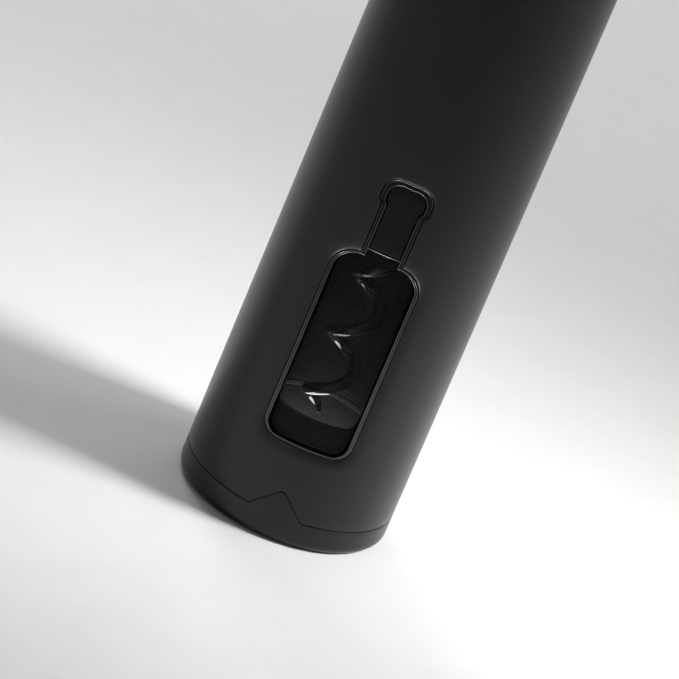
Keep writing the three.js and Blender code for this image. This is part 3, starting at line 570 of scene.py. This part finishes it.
FINISHES = {
    "shell_charcoal": dict(color=(0.0065, 0.0065, 0.0067), roughness=0.32, vary=0.08, grain=(0.25, 0.002),
                           Specular_IOR_Level=0.36, Sheen_Weight=0.05, Sheen_Roughness=0.25),
    "bezel_black": dict(color=(0.003, 0.003, 0.0031), roughness=0.22, grain=(0.3, 0.0008),
                        Specular_IOR_Level=0.22),
    "gloss_black": dict(color=(0.006, 0.006, 0.006), roughness=0.14, vary=0.15, grain=(0.8, 0.0005),
                        Specular_IOR_Level=0.55, Coat_Weight=0.55, Coat_Roughness=0.12),
    "smoked_lens": dict(color=(0.002, 0.002, 0.0022), roughness=0.045, vary=0.2,
                        Alpha=0.4, Specular_IOR_Level=0.22),
    "dark_plastic": dict(color=(0.007, 0.007, 0.0075), roughness=0.42, vary=0.12, grain=(0.25, 0.002),
                         Specular_IOR_Level=0.17),
    "rubber": dict(color=(0.009, 0.009, 0.009), roughness=0.7, vary=0.2, grain=(0.3, 0.01)),
    "grey_plastic": dict(color=(0.26, 0.265, 0.27), roughness=0.42, grain=(0.3, 0.003)),
    "gear_plastic": dict(color=(0.79, 0.75, 0.66), roughness=0.38, vary=0.05, grain=(0.4, 0.002)),
    "coated_steel": dict(color=(0.16, 0.16, 0.165), roughness=0.1, metallic=1, vary=0.15,
                         grain=(0.5, 0.0005)),
    "steel": dict(color=(0.55, 0.56, 0.58), roughness=0.26, metallic=1, grain=(0.2, 0.001),
                  stretch=(1, 1, 0.2)),
    "laminated_steel": dict(color=(0.2, 0.2, 0.21), roughness=0.42, metallic=1, vary=0.2,
                            grain=(0.5, 0.02), stretch=(0.05, 0.05, 1)),
    "magnet": dict(color=(0.04, 0.04, 0.042), roughness=0.55, metallic=0.3, vary=0.25,
                   grain=(0.3, 0.01)),
    "brass": dict(color=(0.6, 0.42, 0.14), roughness=0.3, metallic=1, grain=(0.2, 0.002),
                  stretch=(0.1, 0.1, 1)),
    "copper": dict(color=(0.6, 0.27, 0.14), roughness=0.3, metallic=1, grain=(0.2, 0.002),
                   stretch=(0.1, 0.1, 1)),
    "board_green": dict(color=(0.02, 0.13, 0.045), roughness=0.35, vary=0.25, grain=(0.6, 0.01)),
    "cell_wrap": dict(color=(0.04, 0.18, 0.47), roughness=0.28, vary=0.06, grain=(1.5, 0.01)),
    "clear_light": dict(color=(0.8, 0.83, 0.85), roughness=0.12, vary=0.04, Transmission_Weight=0.4),
    "red_wire": dict(color=(0.45, 0.02, 0.02), roughness=0.4, grain=(0.4, 0.004)),
    "black_wire": dict(color=(0.008, 0.008, 0.008), roughness=0.4, grain=(0.4, 0.004)),
}
MATERIALS = {slot: finish(slot, **values) for slot, values in FINISHES.items()}
MATERIALS["smoked_lens"].surface_render_method = "BLENDED"

slot_of = {s["node"]: s["material_slot"] for s in frame["record"]["subparts"]}
for node, cad_piece in frame["nodes"].items():
    for material_slot in cad_piece.material_slots:
        material_slot.material = MATERIALS[slot_of[node]]


# ---- Shell, base ring and cap ----

def roll(s, height):
    """How far the shell dips at a distance s from the window's edge. It is flat round the neck."""
    share = 1 - 0.85 * smoothstep(height, 64, 72)
    dip = ROLL_DEPTH * (1 - s / ROLL_WIDTH) ** 2 if s < ROLL_WIDTH else 0.0
    return share * dip + edge_depth(s, 0.15)


def rounded_rows(outline_at, edge_is_loop=True):
    """Rows for a rounded edge; outline_at(s) is the outline at a distance s in from the edge."""
    return [(outline_at(s), edge_depth(s), edge_is_loop) for s in EDGE_ROWS]


def port_outline(radius, grow, surface_radius):
    return on_back(stadium(radius, PORT_HALF, PORT_HEIGHT, along_x=True, grow=grow), surface_radius)


def build_shell():
    bottom = rounded_rows(lambda s: seam_row(SHELL_BOTTOM + s, SEAM + s), edge_is_loop=False)
    top = rounded_rows(lambda s: level_row(SHELL_TOP - s), edge_is_loop=False)
    window = []
    for s in ROLL_ROWS:
        outline = on_front(bottle_outline(WINDOW_EDGE, s), BODY_RADIUS)
        window.append((outline, [roll(s, z) for _, z in outline], True))
    buttons = rounded_rows(lambda s: on_front(button_area(BEZEL_RADIUS, s), BODY_RADIUS))
    port = rounded_rows(lambda s: port_outline(PORT_RADIUS, s, BODY_RADIUS))
    domain = bottom[0][0] + top[0][0][::-1]
    holes = [rows[0][0] for rows in (window, buttons, port)]
    lines = bottom + top + window + buttons + port
    shell = plate("shell_skin", BODY_RADIUS, INNER_RADIUS, domain, lines, holes, (0.9, 2.4), SEAM_SIDES)
    dress(shell, "shell_charcoal", "housing", "outer_shell")


def ring_profile(top):
    """The base ring's section as (radius, height) points, where its visible face ends at top."""
    bore, spigot_bore = NECK_BORE + 1.75, LINER_RADIUS - 1.5
    spigot_foot, spigot_top, groove = 4.5, 10.5, RING_TOP - 0.3
    chamfer = 0.3
    corner = BODY_RADIUS - EDGE_ROUNDING
    profile = [(spigot_bore, spigot_foot), (bore, spigot_foot), (bore, chamfer), (bore + chamfer, 0)]
    profile += arc_points(corner, EDGE_ROUNDING, EDGE_ROUNDING, -90, 0, 10)
    profile += line_points((BODY_RADIUS, EDGE_ROUNDING), (BODY_RADIUS, top - SOFT_EDGE), 4)[1:]
    profile += [(BODY_RADIUS - edge_depth(s), top - s) for s in EDGE_ROWS[-2::-1]]
    profile += [(INNER_RADIUS, top), (INNER_RADIUS, groove), (LINER_RADIUS, groove)]
    profile += [(LINER_RADIUS, spigot_top), (spigot_bore, spigot_top)]
    return profile


def build_base_ring():
    columns = [turn_at(x) for x in tab_columns(TAB_FOOT + TAB_BASE - RING_TOP)]
    tab_end = columns[-1] + 0.012
    around = np.linspace(-math.pi, math.pi, 180, endpoint=False)
    columns = sorted(columns + [turn for turn in around if abs(turn) > tab_end])
    sections = []
    for turn in columns:
        in_front = abs(turn) < math.pi / 2
        top = max(RING_TOP, tab_height(BODY_RADIUS * math.sin(turn))) if in_front else RING_TOP
        radii, heights = np.array(ring_profile(top)).T
        u = np.full(len(radii), turn * BODY_RADIUS)
        sections.append(wrapped(u, heights, BODY_RADIUS, radii))
    faces = loops_to_faces(len(sections), len(sections[0]))
    ring = make_mesh("ring_skin", np.concatenate(sections), faces)
    dress(ring, "shell_charcoal", "housing", "base_ring")


def build_top_cap():
    wall, spigot_bottom = 2.0, BODY_HEIGHT - 10.5
    dome = 0.35  # the top falls this much from its middle to its edge
    corners = [
        (LINER_RADIUS - wall, BODY_HEIGHT - wall - dome, 0),
        (LINER_RADIUS - wall, spigot_bottom, 0.3),
        (LINER_RADIUS, spigot_bottom, 0.3),
        (LINER_RADIUS, CAP_BOTTOM, 0),
        (BODY_RADIUS, CAP_BOTTOM, SOFT_EDGE),
        (BODY_RADIUS, BODY_HEIGHT - dome, EDGE_ROUNDING),
    ]
    profile = rounded_profile(corners + [(0, BODY_HEIGHT - dome, 0)])[:-1]
    flat_radius = BODY_RADIUS - EDGE_ROUNDING
    crown = [(r, BODY_HEIGHT - dome * (r / flat_radius) ** 2) for r in np.linspace(flat_radius - 1.5, 0, 9)]
    profile += crown + [(0, BODY_HEIGHT - wall - dome)]
    dress(lathe("cap_skin", profile), "shell_charcoal", "housing", "top_cap")


# ---- Window ----

def bead_share(height):
    """The beads stand full height round the bottle's neck and flatten towards its base."""
    return 0.12 + 0.88 * smoothstep(height, 26, 66)


def bead(name, outline_at, base_radius, rise):
    """A polished half-round bead; outline_at(s) is the outline at a distance s outside its inner edge."""
    root = constant(base_radius - 0.3)
    loops = [(outline_at(BEAD_WIDTH), root)]
    for turn in np.linspace(0, math.pi, 9):
        s = BEAD_WIDTH / 2 * (1 + math.cos(turn))
        crest = rise * math.sin(turn)
        loops.append((outline_at(s), lambda z, crest=crest: base_radius + crest * bead_share(z)))
    loops.append((outline_at(0), root))
    dress(band(name, loops), "gloss_black", "housing", "window_frame")


def build_window_bezel():
    outer, behind_shell = -0.15, INNER_RADIUS - 0.25
    face, back = BEZEL_FRONT, BEZEL_BACK
    flange = bottle_outline(WINDOW_EDGE, 1.1)
    loops = [
        (bottle_outline(WINDOW_EDGE, outer), constant(behind_shell)),
        (bottle_outline(WINDOW_EDGE, outer), constant(face)),
        (bottle_outline(LENS_EDGE), constant(face)),
        (bottle_outline(LENS_EDGE), constant(back)),
        (flange, constant(back)),
        (flange, constant(behind_shell)),
    ]
    dress(band("window_bezel", loops), "bezel_black", "housing", "window_frame")
    bead("window_bead_outer", lambda s: bottle_outline(WINDOW_EDGE, outer - BEAD_WIDTH + s), face, 0.2)
    bead("window_bead_inner", lambda s: bottle_outline(LENS_EDGE, s), face, 0.22)


def cut_outline(edge, grow, cut, above):
    """The part of a bottle's outline above or below a cut, closed by a straight line."""
    points = bottle_outline(edge, grow)
    kept = []
    for i, (x, z) in enumerate(points):
        before_x, before_z = points[i - 1]
        if (before_z > cut) != (z > cut):
            t = (cut - before_z) / (z - before_z)
            kept.append((before_x + (x - before_x) * t, cut))
        if (z > cut) == above:
            kept.append((x, z))
    start = next(i for i, p in enumerate(kept) if p[1] == cut and kept[i - 1][1] == cut)
    kept = kept[start:] + kept[:start]
    closing = line_points(kept[-1], kept[0], 10)[1:-1]
    return without_repeats(kept + closing)


PANE_ROUNDING = 0.25
PANE_ROWS = (0, 0.04, 0.12, PANE_ROUNDING)
PANE_GAP = 0.1  # by which the neck plate laps the rim, and the lens stays clear of it


def build_neck_plate():
    rows = []
    for s in PANE_ROWS:
        outline = on_front(cut_outline(LENS_EDGE, PANE_GAP, LENS_TOP + s, above=True), PLATE_FRONT)
        # only the lower edge is free, so the inner rows are that edge's alone
        lower_edge = [p for p in outline if abs(p[1] - LENS_TOP - s) < 1e-6]
        rows.append((lower_edge if s else outline, edge_depth(s, PANE_ROUNDING), not s))
    pane = plate("neck_plate", PLATE_FRONT, BEZEL_BACK, rows[0][0], rows, [], (0.7, 1.5))
    dress(pane, "bezel_black", "housing", "window_frame")


def build_plate_edge():
    """The polished bar along the neck plate's lower edge."""
    half, thickness, sides = LENS_EDGE["neck"] - 0.05, 0.2, 12
    turns = [2 * math.pi * k / sides for k in range(sides)]
    rings = []
    for x in np.linspace(-half, half, 15):
        y = -math.sqrt((PLATE_FRONT + 0.02) ** 2 - x**2)
        z = LENS_TOP + 0.1
        rings.append([(x, y - thickness * math.cos(t), z + thickness * math.sin(t)) for t in turns])
    dress(solid_from_loops("neck_plate_edge", rings), "gloss_black", "housing", "window_frame")


def build_lens():
    rows = []
    for s in PANE_ROWS:
        outline = cut_outline(LENS_EDGE, -PANE_GAP - s, LENS_TOP - PANE_GAP - s, above=False)
        rows.append((on_front(outline, LENS_FRONT), edge_depth(s, PANE_ROUNDING), True))
    lens = plate("lens", LENS_FRONT, LENS_BACK, rows[0][0], rows, [], (0.8, 2.0))
    dress(lens, "smoked_lens", "housing", "window_lens")


# ---- Cork path ----

def build_sleeve():
    """The chamber's wall, with an opening in front, on a flange at its foot."""
    low, high = sleeve_low.z, sleeve_high.z
    outer, flange_height = CORK_BORE + 1.5, 1.5
    half, bottom, top = 8.6, 24.5, 65
    opening = rounded_profile([(half, bottom, 2), (half, top, 2), (-half, top, 2), (-half, bottom, 2)])
    hole = on_front(filled_in(opening, 1.5), outer)
    side = outer * math.pi / 2
    seam = (-side, 3 * side)
    around = np.linspace(*seam, 97)
    foot = [(u, low + flange_height - 0.1) for u in around]
    head = [(u, high) for u in around]
    lines = [(foot, 0, False), (head, 0, False), (hole, 0, True)]
    wall = plate("sleeve_wall", outer, CORK_BORE, foot + head[::-1], lines, [hole], (0.9, 3.0), seam)
    dress(wall, "dark_plastic", "housing", "cork_sleeve")
    flange = rounded_profile([(CORK_BORE, low, 0.2), (sleeve_high.x, low, 0.3),
                              (sleeve_high.x, low + flange_height, 0.3),
                              (CORK_BORE, low + flange_height, 0)])
    dress(lathe("sleeve_foot", flange), "dark_plastic", "housing", "cork_sleeve")
    for number, degrees in enumerate((45, 135, 220, 320), 1):
        build_rib(f"sleeve_rib_{number}", degrees)


def build_rib(name, degrees):
    """One of the ribs on the sleeve's bore that keep the cork from turning."""
    height, half_width, low, high, end_slope = 0.8, 0.6, 24.5, 66, 0.6
    crest = CORK_BORE - height
    root = CORK_BORE + 0.5
    turned = Matrix.Rotation(math.radians(degrees), 3, "Z")
    loops = []
    for z, sunk in ((low, height), (low + end_slope, 0), (high - end_slope, 0), (high, height)):
        corners = [(root, -half_width, 0), (root, half_width, 0),
                   (crest + sunk, half_width, 0.3), (crest + sunk, -half_width, 0.3)]
        loops.append([turned @ Vector((x, y, z)) for x, y in rounded_profile(corners)])
    dress(solid_from_loops(name, loops), "dark_plastic", "housing", "cork_sleeve")


def build_neck_liner():
    low, high = (c.z for c in box_mm("neck_guide"))
    outer = NECK_BORE + 1.45
    collar_low, collar_high, chamfer, lead_in = 10.8, 12.3, 0.3, 2.4
    corners = [
        (outer - chamfer, low, 0),
        (outer, low + chamfer, 0),
        (outer, collar_low, 0),
        (LINER_RADIUS, collar_low, 0.2),
        (LINER_RADIUS, collar_high, 0.2),
        (outer, collar_high, 0.4),
        (outer, high, 0.2),
        (NECK_BORE, high, 0.2),
        (NECK_BORE, low + lead_in, 1.0),
    ]
    dress(lathe("neck_liner", rounded_profile(corners)), "dark_plastic", "housing", "neck_guide")


def build_lip_pad():
    low, high = (c.z for c in box_mm("lip_seat"))
    inner, outer = CORK_BORE + 0.2, NECK_BORE - 0.3
    corners = [(inner, low, 0.35), (outer, low, 0.35), (outer, high, 0.2), (inner, high, 0.2)]
    dress(lathe("lip_pad", rounded_profile(corners)), "rubber", "housing", "lip_seat")


# ---- Worm ----

def worm_point(height):
    """The middle of the wire at a height. The helix winds out from the axis and back to it."""
    opening = smoothstep(height, worm_low.z - 2, worm_low.z + 5)
    closing = 1 - smoothstep(height, 100, 108.5)
    radius = WORM_RADIUS * opening * closing
    turn = math.pi + 2 * math.pi * (height - LEFT_APEX_HEIGHT) / WORM_PITCH
    return Vector((radius * math.cos(turn), radius * math.sin(turn), height))


def build_worm():
    """A round wire along the helix, drawn to a point over its first length."""
    sides, point_length = 20, 6.0
    point_end = worm_low.z + point_length
    heights = [*np.linspace(worm_low.z + 0.1, point_end, 40)[:-1],
               *np.linspace(point_end, worm_high.z - 0.3, 460)]
    path = [worm_point(h) for h in heights]
    normal = Vector((0, 1, 0))
    points, travelled = [path[0]], 0.0
    for i in range(1, len(path)):
        travelled += (path[i] - path[i - 1]).length
        tangent = (path[min(i + 1, len(path) - 1)] - path[i - 1]).normalized()
        normal = (normal - tangent * normal.dot(tangent)).normalized()
        side = tangent.cross(normal)
        radius = WIRE_RADIUS * math.sqrt(min(1.0, travelled / point_length))
        for k in range(sides):
            turn = 2 * math.pi * k / sides
            points.append(path[i] + radius * (math.cos(turn) * normal + math.sin(turn) * side))
    rings = len(path) - 1
    faces = [(0, 1 + (k + 1) % sides, 1 + k) for k in range(sides)]
    for i in range(rings - 1):
        a, b = 1 + i * sides, 1 + (i + 1) * sides
        faces += [(a + k, a + (k + 1) % sides, b + (k + 1) % sides, b + k) for k in range(sides)]
    last = 1 + (rings - 1) * sides
    faces.append(tuple(last + k for k in range(sides)))
    dress(make_mesh("worm_wire", points, faces), "coated_steel", "worm_assembly", "worm")


# ---- Buttons, light and port ----

def turned_front(profile, height, segments=64):
    """Points and faces of (radius, y) pairs, from the axis back to it, turned round a line along Y."""
    points = [(0, profile[0][1], height)]
    for r, y in profile[1:-1]:
        for k in range(segments):
            turn = 2 * math.pi * k / segments
            points.append((r * math.cos(turn), y, height + r * math.sin(turn)))
    points.append((0, profile[-1][1], height))
    rings = len(profile) - 2
    last_ring, last = 1 + (rings - 1) * segments, len(points) - 1
    faces = []
    for k in range(segments):
        n = (k + 1) % segments
        faces.append((0, 1 + k, 1 + n))
        for i in range(rings - 1):
            this_ring, next_ring = 1 + i * segments, 1 + (i + 1) * segments
            faces.append((this_ring + k, next_ring + k, next_ring + n, this_ring + n))
        faces.append((last, last_ring + n, last_ring + k))
    return points, faces


def dished(x, radius):
    """y of a button's face: the body's curve, hollowed towards the button's middle."""
    hollow, hollow_radius = 0.3, BUTTON_RADIUS - 0.6
    surface = -math.sqrt(BUTTON_FACE**2 - x**2)
    if radius >= hollow_radius:
        return surface
    return surface + hollow * (1 - (radius / hollow_radius) ** 2)


def build_button(name, height, pointing):
    """A cap with a dished face and a rounded rim, on a hidden flange and stem."""
    rounding, on_face = 0.5, 0.0
    flange, flange_front, flange_back = BUTTON_RADIUS + 0.8, -19.6, -19.0
    stem, stem_back = 1.5, -18.6
    flat = BUTTON_RADIUS - rounding
    radii = [*np.linspace(0, flat, 13)]
    radii += [flat + rounding * math.sin(math.radians(t)) for t in (25, 50, 70, 90)]
    profile = [(r, on_face) for r in radii]
    profile += [(BUTTON_RADIUS, flange_front), (flange, flange_front), (flange, flange_back),
                (stem, flange_back), (stem, stem_back), (0, stem_back)]
    points, faces = turned_front(profile, height)
    for i, (x, y, z) in enumerate(points):
        if y == on_face:
            radius = math.hypot(x, z - height)
            past = max(0.0, radius - flat)
            rounded = rounding - math.sqrt(max(0.0, rounding**2 - past**2))
            points[i] = (x, dished(x, radius) + rounded, z)
    dress(make_mesh(name + "_cap", points, faces), "shell_charcoal", name, name)
    build_arrow(name + "_mark", name, height, pointing)


def build_arrow(name, body, height, pointing):
    """A small rounded chevron that lies on the button's face."""
    half, rise, half_width, proud, depth = 1.55, 0.8, 0.28, 0.05, 0.3
    spine = [(-half, -rise / 2, 0.12), (0, rise, 0.25), (half, -rise / 2, 0.12)]
    corners = [(x, z + half_width, rounding) for x, z, rounding in spine]
    corners += [(x, z - half_width, rounding) for x, z, rounding in reversed(spine)]
    outline = [(x, pointing * z) for x, z in rounded_profile(corners)]
    if pointing < 0:
        outline.reverse()
    ring = filled_in(outline, 0.3)
    edges = [(i, (i + 1) % len(ring)) for i in range(len(ring))]
    verts, _, triangles, _, _, _ = delaunay_2d_cdt([Vector(p) for p in ring], edges, [], 1, 1e-6)
    front = [(v.x, dished(v.x, v.length) - proud, v.y + height) for v in verts]
    back = [(v.x, dished(v.x, v.length) + depth, v.y + height) for v in verts]
    dress(closed_wall(name, front, back, triangles), "grey_plastic", body)


def build_button_bezel():
    front, back, gap, light_hole = BODY_RADIUS - 0.15, BODY_RADIUS - 2.1, 0.3, 1.2
    lines = rounded_rows(lambda s: on_front(button_area(BEZEL_RADIUS - 0.15, -s), front))
    domain, holes = lines[0][0], []
    for radius, height, steps in ((BUTTON_RADIUS + gap, DOWN_HEIGHT, 64),
                                  (BUTTON_RADIUS + gap, UP_HEIGHT, 64),
                                  (light_hole, LIGHT_HEIGHT, 32)):
        rows = rounded_rows(lambda s: on_front(circle(radius + s, height, steps), front))
        lines += rows
        holes.append(rows[0][0])
    bezel = plate("button_surround", front, back, domain, lines, holes, (0.6, 1.2))
    dress(bezel, "gloss_black", "housing", "button_bezel")


def build_light():
    front, radius, dome, back = BODY_RADIUS - 0.1, 0.9, 0.3, -14.8
    profile = [(0, -front)]
    for degrees in (20, 40, 60, 75, 90):
        turn = math.radians(degrees)
        profile.append((radius * math.sin(turn), -front + dome * (1 - math.cos(turn))))
    profile += [(radius, back), (0, back)]
    points, faces = turned_front(profile, LIGHT_HEIGHT, 32)
    dress(make_mesh("light_pipe", points, faces), "clear_light", "housing", "indicator_lens")


def build_port():
    front, back = BODY_RADIUS - 0.2, BODY_RADIUS - 2.4
    rim = rounded_rows(lambda s: port_outline(PORT_RADIUS - 0.15, -s, front))
    mouth = rounded_rows(lambda s: on_back(stadium(1.85, 2.9, PORT_HEIGHT, along_x=True, grow=s), front))
    trim = plate("port_surround", front, back, rim[0][0], rim + mouth, [mouth[0][0]], (0.4, 0.4))
    dress(trim, "gloss_black", "housing", "port_trim")
    build_socket()


def build_socket():
    """The charging socket: a steel shell, closed behind, round a tongue."""
    low, high = (c.y for c in box_mm("charge_socket"))
    half, outer, inner = 2.85, 1.6, 1.3
    loops = []
    for radius, y, grow in ((outer, low, 0), (outer, high - 0.1, 0), (outer, high, -0.1),
                            (inner, high, 0.05), (inner, high - 0.15, 0), (inner, low + 1.2, 0)):
        outline = stadium(radius, half, PORT_HEIGHT, along_x=True, grow=grow)
        loops.append([(-x, y, z) for x, z in outline])
    dress(solid_from_loops("socket_shell", loops), "steel", "housing", "charge_socket")
    loops = []
    for y, grow in ((low + 1, 0), (high - 1.0, 0), (high - 0.8, -0.12)):
        across, thick = 3.3 + grow, 0.35 + grow
        top, bottom = PORT_HEIGHT + thick, PORT_HEIGHT - thick
        corners = [(across, bottom, 0.1), (across, top, 0.1), (-across, top, 0.1), (-across, bottom, 0.1)]
        loops.append([(-x, y, z) for x, z in rounded_profile(corners)])
    dress(solid_from_loops("socket_tongue", loops), "dark_plastic", "housing", "charge_socket")


build_shell()
build_base_ring()
build_top_cap()
build_window_bezel()
build_neck_plate()
build_plate_edge()
build_lens()
build_sleeve()
build_neck_liner()
build_lip_pad()
build_worm()
build_button("up_button", UP_HEIGHT, 1)
build_button("down_button", DOWN_HEIGHT, -1)
build_button_bezel()
build_light()
build_port()


# ---- Floor, light and camera ----

def build_floor():
    half = 4.0
    corners = [(-half, -half, 0), (half, -half, 0), (half, half, 0), (-half, half, 0)]
    mesh = bpy.data.meshes.new("floor")
    mesh.from_pydata(corners, [], [(0, 1, 2, 3)])
    floor = bpy.data.objects.new("floor", mesh)
    bpy.context.scene.collection.objects.link(floor)
    mesh.materials.append(finish("floor_paint", (0.62, 0.62, 0.62), 0.7, vary=0.015))


def soft_light(name, azimuth, height_angle, distance, size, power, target,
               spread=180, glossy=False, diffuse=True):
    """An area light at an azimuth (0 on the right, 90 behind) and height angle, aimed at its target.

    One that isn't glossy lights surfaces without showing in them as a reflection.
    """
    data = bpy.data.lights.new(name, "AREA")
    data.shape = "RECTANGLE"
    data.size, data.size_y = size
    data.energy = power
    data.spread = math.radians(spread)
    light = bpy.data.objects.new(name, data)
    bpy.context.scene.collection.objects.link(light)
    turn, lift = math.radians(azimuth), math.radians(height_angle)
    away = Vector((math.cos(turn) * math.cos(lift), math.sin(turn) * math.cos(lift), math.sin(lift)))
    light.location = Vector(target) + away * distance
    light.rotation_mode = "QUATERNION"
    light.rotation_quaternion = away.to_track_quat("Z", "Y")
    light.visible_camera = False
    light.visible_glossy = glossy
    light.visible_diffuse = diffuse


def build_lights():
    # The body mirrors the floor, so key and wash brighten the floor on the right, and rim behind.
    soft_light("key", 0, 42, 0.55, (0.12, 0.12), 0.24, (0, 0, 0), spread=40)
    soft_light("wash", 0, 40, 0.8, (0.5, 0.4), 2.6, (0, 0.1, 0))
    # Low in front, for the undersides of the window's beads and shoulders
    soft_light("low_glow", 270, -62, 0.085, (0.03, 0.012), 0.0021, (0, -0.022, 0.078),
               spread=36, glossy=True, diffuse=False)
    soft_light("fill", 240, 14, 0.7, (0.5, 0.3), 0.3, (0, 0, 0.05), glossy=True)
    soft_light("top", 75, 62, 0.8, (0.3, 0.3), 0.9, (0, 0, 0.08), glossy=True)
    # Inside the base, shining up the bore on to the worm
    soft_light("base_glow", 90, -90, 0.05, (0.02, 0.02), 0.014, (0, 0, 0.053),
               glossy=True, diffuse=False)
    soft_light("rim", 120, 30, 0.8, (0.3, 0.6), 3.7, (0, 0, 0.1))


def build_camera():
    """A camera in front that looks down at the window and is rolled anticlockwise, in metres."""
    elevation, roll_angle = math.radians(22.846), math.radians(23.043)
    target, distance = Vector((-0.001625, 0, 0.037993)), 1.12493
    forward = Vector((0, math.cos(elevation), -math.sin(elevation)))
    across, upward = Vector((1, 0, 0)), Vector((0, math.sin(elevation), math.cos(elevation)))
    right = math.cos(roll_angle) * across + math.sin(roll_angle) * upward
    up = -math.sin(roll_angle) * across + math.cos(roll_angle) * upward
    data = bpy.data.cameras.new("camera")
    data.lens, data.sensor_width = 288.27, 36
    data.clip_start, data.clip_end = 0.05, 20
    camera = bpy.data.objects.new("camera", data)
    bpy.context.scene.collection.objects.link(camera)
    place = target - forward * distance
    camera.matrix_world = Matrix(((right.x, up.x, -forward.x, place.x),
                                  (right.y, up.y, -forward.y, place.y),
                                  (right.z, up.z, -forward.z, place.z),
                                  (0, 0, 0, 1)))
    bpy.context.scene.camera = camera


def build_world():
    world = bpy.data.worlds.new("studio")
    world.use_nodes = True
    background = world.node_tree.nodes["Background"]
    background.inputs["Color"].default_value = (1, 1, 1, 1)
    background.inputs["Strength"].default_value = 0.2
    bpy.context.scene.world = world


build_floor()
build_world()
build_camera()
build_lights()
bpy.context.scene.view_settings.view_transform = "Standard"
